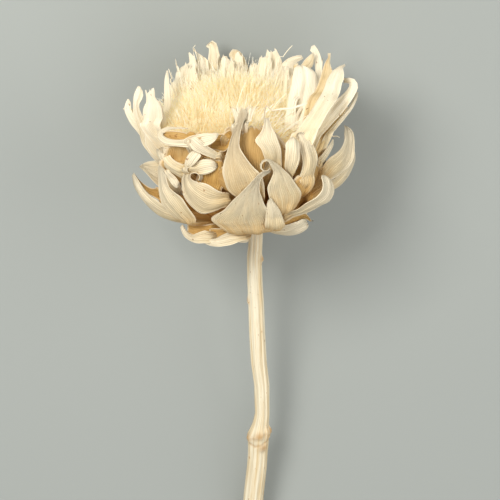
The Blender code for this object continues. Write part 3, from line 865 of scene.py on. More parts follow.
class BladeMesh:
    """A mesh that gathers blades, each a thin closed shell with a rounded rim."""

    KEYS = ("grain", "along", "inner", "tan", "pale", "edge")

    def __init__(self) -> None:
        """Starts with no blades."""
        self.points: list[np.ndarray] = []
        self.faces: list[np.ndarray] = []
        self.notes: dict[str, list[np.ndarray]] = {key: [] for key in self.KEYS}
        self.count = 0

    def add(self, bract: Blade, rows: int, columns: int) -> None:
        """Adds a bract, as one blade or as the strips that it is torn into.

        Args:
            bract: the bract.
            rows: how many steps each blade has along it.
            columns: how many steps the whole bract has across.
        """
        rng = np.random.default_rng(zlib.crc32(bract.name.encode()) + 1)
        cuts = np.linspace(-1, 1, bract.strips + 1)
        cuts[1:-1] += rng.uniform(-0.16, 0.16, len(cuts) - 2)
        wide = max(3, round(columns / bract.strips))
        for k, (left, right) in enumerate(zip(cuts, cuts[1:])):
            s = np.linspace(0, 1, rows + 1)[:, None] * np.ones((1, wide + 1))
            share = np.linspace(-1, 1, wide + 1)[None] * np.ones_like(s)
            middle, half = (left + right) / 2, (right - left) / 2
            reach = 1.0
            if bract.strips > 1:
                reach = 1 - rng.uniform(0.0, 0.24)
                begins = rng.uniform(0.35, 0.6)
                torn = np.clip((s - begins) / (1 - begins), 0, 1)
                half = half * (1.06 - rng.uniform(0.25, 0.6) * torn - 0.3 * torn**6)
                middle = middle + rng.uniform(-0.18, 0.18) * torn**2
            grid = bract.surface(s * reach, middle + half * share)
            if bract.strips > 1:
                normal = self._normals(grid)
                drift = (0.22 * (k % 2) + rng.uniform(-2.6, 2.6) * torn**2.5)[..., None]
                grid = grid + normal * drift
            self._shell(bract, grid, s, middle + half * share, share)

    @staticmethod
    def _normals(grid: np.ndarray) -> np.ndarray:
        """Directions that stand on the blade's inner side."""
        return unit(np.cross(np.gradient(grid, axis=0), np.gradient(grid, axis=1)))

    def _shell(self, bract: Blade, grid: np.ndarray, s: np.ndarray, c: np.ndarray,
               share: np.ndarray) -> None:
        """Adds one closed shell.

        Args:
            bract: whose blade it is.
            grid: the blade's middle.
            s: how far along each point is.
            c: how far across the bract each point is.
            share: how far across this strip each point is.
        """
        normal = self._normals(grid)
        thin = bract.thick / 2 * (1 - 0.45 * np.abs(share) ** 3) * (1 - 0.35 * s)
        lower = grid - normal * thin[..., None]
        upper = grid + normal * thin[..., None]
        rows, wide = grid.shape[0], grid.shape[1]
        number = np.arange(rows * wide).reshape(rows, wide)
        rim = np.r_[number[:, 0], number[-1, 1:-1], number[::-1, -1], number[0, -2:0:-1]]
        inside = np.r_[number[:, 1], number[-2, 1:-1], number[::-1, -2], number[1, -2:0:-1]]
        flat = grid.reshape(-1, 3)
        out = unit(flat[rim] - flat[inside]) * (0.8 * thin.reshape(-1)[rim])[:, None]
        ring = flat[rim] + out
        size = rows * wide
        a, b, d, e = number[:-1, :-1], number[1:, :-1], number[1:, 1:], number[:-1, 1:]
        outer = np.stack([e, d, b, a], -1).reshape(-1, 4)
        inner = np.stack([a, b, d, e], -1).reshape(-1, 4) + size
        after = np.roll(np.arange(len(rim)), -1)
        low = np.stack([rim, rim[after], 2 * size + after, 2 * size + np.arange(len(rim))], -1)
        high = np.stack([2 * size + np.arange(len(rim)), 2 * size + after, rim[after] + size, rim + size], -1)
        self.points += [lower.reshape(-1, 3), upper.reshape(-1, 3), ring]
        self.faces.append(np.concatenate([outer, inner, low, high]) + self.count)
        self.count += 2 * size + len(rim)

        width, length = bract.size()
        seed = bract.phases(1)[0] * 40
        grain = np.stack([c * width / 2, s * length, np.full(s.shape, seed)], -1).reshape(-1, 3)
        self._note("grain", grain, grain, grain[rim])
        age = bract.age(s)
        self._note("along", age, age, age.reshape(-1)[rim])
        self._note("pale", *(np.full(n, bract.pale) for n in (size, size, len(rim))))
        self._note("tan", *(np.full(n, bract.tan) for n in (size, size, len(rim))))
        self._note("inner", np.zeros(size), np.ones(size), np.full(len(rim), 0.5))
        rounded = np.maximum(np.abs(share), np.clip(s * 10 - 9, 0, 1))
        self._note("edge", rounded, rounded, np.ones(len(rim)))

    def _note(self, name: str, *values: np.ndarray) -> None:
        """Keeps an attribute's values for the outer face, the inner face and the rim."""
        shape = (-1, 3) if name == "grain" else -1
        self.notes[name] += [np.asarray(value).reshape(shape) for value in values]

    def mesh(self, name: str) -> "FlowerMesh":
        """Everything gathered so far, as one mesh."""
        notes = {key: np.concatenate(values) for key, values in self.notes.items()}
        return FlowerMesh(name, np.concatenate(self.points), np.concatenate(self.faces), notes)


@dataclass
class FlowerMesh:
    """An upright shape in millimetres, with the values that its finish reads."""

    name: str
    points: np.ndarray
    faces: np.ndarray | list[tuple[int, ...]]
    notes: dict[str, np.ndarray] = field(default_factory=dict)

    def piece(self, node: str, slot: str, material: bpy.types.Material) -> None:
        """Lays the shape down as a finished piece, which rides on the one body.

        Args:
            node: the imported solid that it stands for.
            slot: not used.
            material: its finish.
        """
        mesh = bpy.data.meshes.new(self.name)
        faces = self.faces.tolist() if isinstance(self.faces, np.ndarray) else self.faces
        mesh.from_pydata(POSE.place(self.points).tolist(), [], faces)
        for key, values in self.notes.items():
            kind, target = ("FLOAT_VECTOR", "vector") if values.ndim == 2 else ("FLOAT", "value")
            kept = mesh.attributes.new(key, kind, "POINT").data
            kept.foreach_set(target, values.astype(np.float32).ravel())
        mesh.materials.append(material)
        mesh.shade_smooth()
        dress(linked(self.name, mesh), node)


def dress(piece: bpy.types.Object, node: str) -> None:
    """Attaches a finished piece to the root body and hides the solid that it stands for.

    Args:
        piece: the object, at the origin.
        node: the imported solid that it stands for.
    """
    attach(piece, "root")
    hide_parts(node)
    piece.data.calc_loop_triangles()
    log.info("%s: %d triangles", piece.name, len(piece.data.loop_triangles))


# The head

Facing = tuple[str, int, Looks, list[Pair]]
Ribbed = tuple[str, int, list[Point], float, Looks]
Station = tuple[float, float, float, float, float]
Ring = tuple[str, int, int, tuple[float, float], list[tuple[float, float]], float, int, Looks]

# The outer bracts whose outer faces show: name, row, looks, and edges as seen.
# Blades with a high tan sit in hollows between the others: their tan is partly the bracts' own and partly
# painted shade.
FRONT_FACED: list[Facing] = [
    ("front_low", 1, dict(bulge=0.16, wave=0.3), [
        (-12, -3, 36, 7, -2.5, 36), (-20.5, 1.5, 39, 12, 1.5, 39), (-22.4, 4.2, 40, 11.8, 4.5, 41),
        (-16, 8, 43.5, 6, 8, 45.5), (-10, 14.2, 46.5, 3, 13, 48), (-4, 19.6, 48, 1.7, 17.5, 49),
        (1, 25, 48.5, 2.2, 22.5, 49), (4.5, 27, 48.5, 4.5, 24.8, 48.5), (7, 26.8, 47.5, 6.8, 26, 47.5)]),
    ("front_fold", 1, dict(wave=0.3), [
        (4, -1, 40, 13.5, -0.5, 38), (4.8, 5, 45, 12.9, 4.5, 43), (5.2, 9, 46.5, 11.3, 8, 45),
        (5.8, 12, 47, 8.5, 12, 46.5), (7, 13.4, 47, 7.6, 13.4, 47)]),
    ("front_right", 2, dict(bulge=0.16, wave=0.3, lip=0.4), [
        (9, 5, 41, 16.5, 7.5, 36), (8, 10, 45, 20.5, 12, 37), (6, 14.5, 46, 22, 16, 39),
        (5.7, 19, 47, 19.8, 20, 42), (7.3, 22.5, 48, 17, 24, 44.5), (8.6, 26, 48, 13.5, 27.5, 46),
        (7.5, 28.5, 48.5, 10.2, 30.2, 46.5), (5.6, 31.6, 49, 6, 32.4, 44.5), (3, 30.3, 50, 2.8, 30.6, 45),
        (2.9, 27.6, 50, 2.9, 27.6, 46), (5, 26.6, 49.5, 5, 26.6, 46.5), (6.6, 28, 49, 6.6, 28, 46.8)]),
    ("front_left", 2, dict(bulge=0.18, wave=0.25, lip=0.3, tan=0.1), [
        (-12, 8, 41, -13, 15, 42), (-16, 9.5, 43, -14.5, 16.3, 45), (-21, 7.4, 44, -17.5, 16.6, 47),
        (-26.5, 6.3, 43.5, -21.5, 18.5, 48), (-31.5, 9.8, 43, -26, 20.5, 48),
        (-35, 15, 42.5, -29, 21.5, 47.5), (-36, 20, 42.5, -31, 22.5, 47), (-35.8, 24, 43, -32, 23.8, 47),
        (-33.3, 26.8, 43, -31.5, 25.2, 47.5), (-29, 27, 43, -29.3, 25.3, 47.5),
        (-26.2, 24.5, 44, -28, 24, 48), (-27.5, 21.5, 44.5, -28.6, 22.5, 48)]),
    ("low_left", 1, dict(bulge=0.35), [
        (-30, 1, 20, -35, 8, 26), (-37, 1.8, 17, -42, 9.5, 24), (-43, 3.5, 15, -45.5, 11, 22),
        (-48, 6, 13, -48.7, 13.3, 19.5), (-53, 10, 11.5, -52, 15, 17), (-57, 14.8, 10, -55.6, 18, 14),
        (-60, 19.5, 9, -58.4, 22.5, 11.5), (-61.3, 24.5, 8, -60.5, 26.4, 9)]),
    ("low_left_inner", 1, dict(bulge=-0.25, tan=0.95, wave=0.2), [
        (-44, 9, 20, -46, 18, 17), (-47, 12, 18, -49, 18.8, 15), (-50, 14, 16, -52, 18.7, 12),
        (-53.5, 16, 13, -55, 20.2, 10), (-57, 20.5, 10.5, -58.3, 23, 8), (-60, 25, 8, -60.6, 26.2, 7.5)]),
    ("left", 1, dict(bulge=0.2), [
        (-33, 2, 28, -28, 1, 31), (-38, 3.5, 28, -29.5, 4, 33), (-43, 7.5, 27, -32.8, 9, 34),
        (-46, 11, 25, -36, 13.5, 33), (-47.5, 16, 23, -39.5, 16.7, 31), (-48, 20.5, 22, -42.3, 19.5, 28),
        (-48.4, 28, 21, -44.2, 25, 25), (-47.3, 30.8, 21, -45.3, 29.8, 23)]),
    ("left_back", 2, dict(bulge=0.2, dent=0.5), [
        (-42, 17, 2, -40, 31, -2), (-48, 19.5, 2, -47.5, 32.5, -3), (-52, 23, 1, -52, 32.2, -4),
        (-56, 27.3, -1, -55.5, 31.3, -3.5), (-58, 29.2, -2, -57.8, 30, -2.5)]),
    ("left_small", 2, dict(bulge=0.3, pale=0.8, wave=0.2, foot=0.3, ragged=1), [
        (-41, 26, 34, -43.5, 25.5, 33), (-39.5, 24, 36, -43, 23, 35), (-37.8, 21.5, 37, -41.5, 20.5, 36),
        (-38.3, 19.8, 37, -40, 19, 36.5), (-38.5, 18.5, 36.5, -39, 18.4, 36.5)]),
    ("left_curl", 3, dict(bulge=0.3, lip=0.2), [
        (-32, 22, 38, -33, 28.5, 41), (-36, 23.5, 38, -36, 29.5, 41), (-40, 25.8, 36.5, -39.5, 30.8, 39),
        (-44, 28.3, 34, -42, 33, 37), (-47, 31.5, 31, -43.3, 35.8, 34.5), (-48.8, 35, 30, -44.5, 37.8, 32.5),
        (-49, 37.5, 31, -46.5, 38.5, 32.5), (-48, 37.8, 33, -46.5, 36.8, 34),
        (-47, 36.5, 34, -46, 35.8, 34.5)]),
    ("upper_left", 3, dict(bulge=0.25, pale=0.5, wave=0.3, ragged=1), [
        (-34.8, 25, 44, -32, 25.5, 45), (-35, 28.5, 45, -32, 28.3, 46.5),
        (-34.5, 31.8, 45.5, -29.5, 30.8, 48), (-33, 34.8, 46, -27.3, 33.5, 48),
        (-31.3, 36.3, 46, -26.8, 34.8, 47.5), (-30, 37, 46, -28.8, 36.5, 46.5)]),
    ("upper_lobe", 3, dict(bulge=0.35, wave=0.25), [
        (-33, 27.5, 43, -30, 24.5, 43), (-30, 30.8, 45, -27.5, 25, 45.5), (-27, 32.3, 46, -24.5, 25.3, 47),
        (-23, 32.4, 46, -22, 26, 47), (-20.5, 31.5, 45.5, -20, 27.3, 46.5),
        (-19.3, 30.3, 45, -19, 28.8, 45.5)]),
    ("over_fold", 4, dict(bulge=0.25, pale=0.35, wave=0.25), [
        (-17, 31, 43, -16, 34.5, 42), (-20, 32.5, 45, -18.5, 35.3, 44), (-24, 34, 46.5, -21.5, 37.3, 45.5),
        (-27.5, 35.5, 47.5, -24.5, 39.3, 47), (-30.5, 37, 48, -27, 41.5, 48), (-32.3, 39.3, 48, -29, 43, 48),
        (-32.5, 41.5, 47.5, -31, 43.3, 47.5)]),
    ("hang_right", 0, dict(bulge=0.25, wave=0.3, pale=0.3), [
        (3.5, 1, 28, 2, -0.5, 24), (10, -0.6, 31, 9, -3.6, 24), (15, 0.4, 31.5, 15, -4.2, 22),
        (19.6, 2.4, 31, 20.5, -3.6, 21), (23, 3.6, 29, 24.4, -1.6, 21), (25, 2.4, 26, 25.8, 0.4, 22)]),
    ("hang_lining", 0, dict(wave=0.4, tan=0.95, foot=0.4, ragged=1), [
        (7, -1.8, 29, 9.5, 2.2, 33), (12, -1, 30, 13.5, 4.2, 34), (17, 0, 30, 17, 5.8, 33),
        (20.5, 1.8, 29, 21.3, 6.4, 31), (24.2, 3.4, 27, 24.4, 6, 28), (27.4, 1.8, 25, 27.5, 2.7, 25)]),
    ("right_low", 1, dict(bulge=0.2), [
        (12.5, 5, 37, 13, 2.5, 32), (15.5, 6.8, 38.5, 17.5, 5, 33), (20, 8.4, 39, 21.5, 6.2, 32),
        (24, 11.5, 39, 26.5, 8, 31), (29, 14.5, 38, 31.5, 10.6, 29), (31.6, 17.5, 37, 35.5, 12.5, 28),
        (32, 21, 35.5, 37.6, 17, 27), (31.5, 24, 34, 37, 21, 27.5), (32.5, 25, 32, 35, 24, 29)]),
    ("right_long", 2, dict(bulge=0.2, dent=0.7), [
        (30, 26, 24, 33, 20, 20), (34.4, 32.5, 22, 38, 23, 17), (38.2, 35.5, 19, 42, 26.5, 14),
        (40.9, 38, 16, 45, 30, 11), (42.2, 41.3, 13, 47.3, 34.5, 9), (42.9, 44.8, 10, 48.2, 41, 7),
        (43.5, 47.6, 8, 47.8, 46.5, 6), (43.6, 49.6, 7, 45, 49.2, 6)]),
    ("right_edge", 1, dict(bulge=0.25), [
        (30, 20, 18, 34, 16, 12), (37, 22.5, 17, 37.5, 18.5, 9), (40, 25, 15, 41, 21, 8),
        (43.5, 29, 12, 44.5, 24.7, 7), (46.5, 32.5, 9, 47.2, 28.7, 6), (47.7, 35.5, 7, 49, 33, 5),
        (48, 37.4, 6, 49, 36.6, 5)]),
    ("right_curl", 3, dict(bulge=0.3, dent=0.7), [
        (20.5, 20, 38, 27, 19, 35), (20.5, 23.5, 39, 28.5, 25.5, 36), (22.3, 28.5, 39, 30.2, 30.5, 36),
        (22.6, 32, 38.5, 30.2, 34, 35), (21.8, 36.5, 37.5, 29, 38, 34.5), (21.3, 41, 36.5, 27.3, 41.8, 34),
        (20.7, 44, 35.5, 25, 44.7, 33.5), (20.3, 45.3, 34.5, 22.5, 46, 34), (19.5, 44, 36, 20.3, 45, 35.5),
        (20, 42.5, 37, 20.8, 43, 36.5)]),
    ("right_thin", 4, dict(bulge=0.2, dent=0.5), [
        (29, 29, 27, 31, 27.5, 26), (30.5, 33, 25, 32.5, 30.5, 24.5), (32.5, 35.5, 24, 34.5, 33.2, 22.5),
        (35, 39, 21, 36.8, 36.8, 19.5), (37, 42, 18.5, 38, 39.8, 17.5), (37.8, 42.8, 17, 38.1, 42, 16.5)]),
    ("right_whisker", 4, dict(pale=1.0, pleat=0, dent=0.1), [
        (35, 42.2, 17, 35.1, 41.8, 17), (38, 44.2, 17, 38, 43.8, 17), (40, 44.3, 17, 40, 44, 17),
        (41.2, 43.7, 17, 41.2, 43.5, 17)]),
    ("mid_right", 4, dict(bulge=0.4, wave=0.5, dent=0.8), [
        (15.8, 23, 40, 17.5, 23, 40), (14.2, 28, 43, 19.5, 28, 42), (14.2, 33, 44, 21, 32.5, 42.5),
        (14.5, 37, 44, 21.2, 36, 42.5), (14.5, 40, 43, 21.4, 39.5, 41.5), (16, 42, 41.5, 20.3, 41.8, 40.5),
        (17.3, 43, 40.5, 18.6, 43, 40.3)]),
    ("mid_tall", 3, dict(bulge=0.16, ragged=3.5, wave=0.4, tan=0.22), [
        (-6, 12, 42, 4, 14, 43), (-11, 15.6, 45.5, 4, 17, 45), (-14.7, 19.6, 47.5, 4, 20.5, 46.5),
        (-16.2, 24.4, 49, 2, 25, 47.5), (-16.2, 28.5, 49, -1.2, 28.5, 47.5),
        (-15.2, 33, 48.5, -5.6, 34, 47.5), (-13.8, 37.5, 47, -8.2, 38.5, 46.5),
        (-12.3, 43, 44.5, -8, 43.5, 44.5), (-10.3, 48, 41.5, -7, 48.3, 41.5), (-9.3, 52, 39, -5, 53.2, 39),
        (-8.6, 57.5, 37, -3.4, 58.5, 36.5)]),
    ("mid_tip_left", 4, dict(pale=1.0, ragged=3, dent=0.8), [
        (-12, 45, 39, -9, 45, 39), (-10.8, 50, 38.5, -7.8, 50, 38.5), (-11, 54, 38, -7.5, 55, 37.5),
        (-12.8, 58.5, 37, -9, 59.5, 36)]),
    ("mid_tip_right", 4, dict(pale=1.0, ragged=3, dent=0.8), [
        (-8, 46, 37, -4, 46, 37), (-6.5, 51, 37, -2.5, 51, 37), (-5.5, 56, 36, -1, 55.5, 36),
        (-4, 60, 34, 0.5, 58.5, 34)]),
    ("mid_point", 4, dict(bulge=0.22, wave=0.4), [
        (3, 25, 41, 11.5, 25.5, 40.5), (4.6, 31, 43, 12.5, 32, 41.5), (2.6, 37, 43.5, 12, 38, 42),
        (-0.4, 41.6, 42.5, 10.4, 42.3, 41.5), (2.3, 45.6, 41, 9, 46, 40.5), (3.6, 48.8, 39.5, 7.4, 49, 39.5),
        (4.2, 52.4, 38, 6.2, 52.6, 38)]),
    ("mid_belly", 3, dict(bulge=-0.12, tan=0.95), [
        (-16, 15, 42, -30, 17, 42), (-16, 20, 44, -29.5, 22, 43), (-15.5, 26, 44.5, -28, 28, 43),
        (-15.5, 32, 43, -26, 33, 41)]),
    ("rim_roll", 5, dict(bulge=0.25, pale=0.9, wave=0.35, lip=0.2, dent=0.6), [
        (-25.5, 40, 44, -25.5, 43.5, 43), (-31.5, 38.3, 45.5, -31.5, 42.5, 42.5),
        (-38, 38.8, 44, -38, 41.8, 42), (-44, 39.5, 41, -42.3, 42.4, 40), (-47.7, 41.8, 37, -45, 43.6, 37),
        (-48.5, 44.5, 34, -45.8, 44.9, 35), (-47, 47, 32, -44.6, 45.6, 33), (-44, 48.2, 31, -42.7, 46.8, 32),
        (-39.5, 48.3, 30, -39, 47.3, 31), (-33.5, 47.9, 30, -33.5, 47.5, 31)]),
    ("rim_flap", 5, dict(bulge=0.15, pale=0.5, wave=0.3, ragged=1, foot=0.5), [
        (-34, 38, 43, -30, 36, 44), (-33, 43.2, 45, -28, 39, 46.5), (-29, 44.3, 45.5, -25, 38.8, 47),
        (-24.5, 45, 45, -22, 40, 46.5), (-21, 45.1, 44.5, -19.8, 41.8, 45.5),
        (-18, 45.1, 44, -18.3, 44.3, 44.5)]),
    ("rim_lining", 5, dict(bulge=0.1, tan=0.6), [
        (-17, 40, 38, -14, 38, 38), (-16, 44, 37, -12, 43, 37), (-15, 47.5, 36, -9, 46.5, 36),
        (-13, 49, 35, -8, 49.3, 35)]),
    ("rim_cave", 5, dict(bulge=-0.1, tan=0.9, foot=0.1, wave=0.4, dent=0.8), [
        (-29, 38, 39, -29, 43, 35), (-34, 39.5, 38.5, -34, 45, 34), (-39, 40.5, 37, -39, 46.3, 33),
        (-44, 42, 35, -44, 46.3, 33), (-46.5, 43.5, 33.5, -46.5, 44.8, 33)]),
    ("curl_belly", 4, dict(bulge=-0.15, tan=0.85), [
        (-45, 28, 33, -31, 28, 40), (-45, 33, 34, -30.5, 32, 42), (-44, 37, 36, -30, 37, 42.5),
        (-43, 39, 36, -30, 40, 42)]),
    ("rim_shade", 4, dict(bulge=-0.25, tan=1.0, foot=0.1, wave=0.2), [
        (-11, 36, 38, -11, 44, 36), (-16, 36, 40, -16, 45, 37), (-20, 37, 40, -20, 44.5, 37.5),
        (-23, 38, 40, -23, 42, 38)]),
    ("hang_left", 0, dict(bulge=0.3, foot=0.4), [
        (-20, -8, 34, -21, -3, 30), (-26, -8.7, 36, -25.5, -2.5, 33), (-29.5, -8.6, 35, -29.5, -4, 32),
        (-33, -7.2, 32, -31.7, -4.6, 30), (-36, -4.5, 29, -34.2, -2.8, 28),
        (-37.5, -0.8, 27, -36.3, 0.6, 26)]),
    ("hang_front", 0, dict(bulge=0.3, foot=0.4, ragged=1), [
        (-4, -7, 34, -5, -3, 30), (-8, -8, 38, -8.5, -4, 35), (-13, -9.6, 39, -12, -2.8, 36),
        (-17.5, -10.4, 39, -16.5, -4.6, 36), (-22, -10, 38, -21, -6.6, 35), (-26, -8.6, 36, -25, -5.5, 33)]),
    ("hang_neck", 0, dict(bulge=0.3, foot=0.4), [
        (-4, -5, 30, -5, -1, 28), (-4, -7.6, 33, -6, -2.6, 32), (-7.5, -8.4, 36, -8.2, -4, 34),
        (-10.5, -7.6, 37, -10.5, -5.6, 36)]),
    ("hang_hollow", 0, dict(bulge=-0.2, tan=0.95, foot=0.3), [
        (-20, -5, 29, -20, 1, 27), (-25, -5.4, 30, -25, 0.5, 27), (-30, -5, 29, -30, 0.6, 26),
        (-34, -3, 27, -34, 0.8, 25)]),
    ("hang_hollow_mid", 0, dict(bulge=-0.2, tan=0.95, foot=0.3), [
        (-7, -6, 33, -7, -1, 31), (-13, -7, 34, -13, -1.2, 31), (-18, -7.4, 34, -18, -1.4, 30),
        (-23, -6, 32, -23, -1.5, 29)]),
]


@dataclass
class FrontBracts:
    """The outer bracts that show from the front, from the hanging ones up to the rim of the choke."""

    rows: int = 48
    columns: int = 18

    def ribbed(self) -> list[Ribbed]:
        """The bracts given by a midrib: name, row, midrib as seen, width and looks."""
        taper, rounded = Outline.TAPER, Outline.ROUND
        return [
            ("hang_inner", 0, [(8, 0, 18), (15, 1, 24), (21, 3, 25)], 15, dict(cup=(20, 40), tan=0.9)),
            ("low_spike", 1, [(17, 2, 12), (23, 3.5, 13), (28.5, 2.5, 12)], 13,
             dict(cup=(10, 30), shape=taper, ragged=3)),
            ("left_deep", 4, [(-26, 22, 36), (-35, 30, 36), (-38, 38, 33)], 28,
             dict(cup=(10, 20), shape=rounded, tan=0.95)),
            ("right_lower", 1, [(31, 12, 28), (35, 14, 26), (37.8, 16.5, 23), (37, 19, 20)], 7,
             dict(cup=(30, 60), shape=rounded)),
            ("right_deep", 3, [(20, 14, 36), (27, 22, 36), (30, 30, 32)], 22,
             dict(cup=(20, 40), shape=rounded, tan=0.9)),
            ("mid_deep", 4, [(1, 20, 39), (1, 30, 41), (0, 40, 40), (-2, 49, 36)], 34,
             dict(cup=(8, 12), roll=(0, 0), shape=rounded, ragged=3, tan=0.9, dent=0.8)),
            ("upper_deep", 4, [(-14, 18, 43), (-21, 24, 43), (-24, 29, 42)], 24,
             dict(cup=(10, 20), shape=rounded, tan=0.9)),
        ]

    def build(self, leaf: bpy.types.Material) -> None:
        """Builds the piece."""
        blades = BladeMesh()
        for name, row, looks, edges in FRONT_FACED:
            blades.add(FacedBract(name=name, row=row, edges=edges, **looks), self.rows, self.columns)
        for name, row, line, width, looks in self.ribbed():
            midrib = [seen(*point) for point in line]
            bract = Bract(name=name, row=row, midrib=midrib, width=width, **looks)
            blades.add(bract, self.rows, self.columns)
        blades.mesh("front_bracts").piece("bract_head", "bract", leaf)


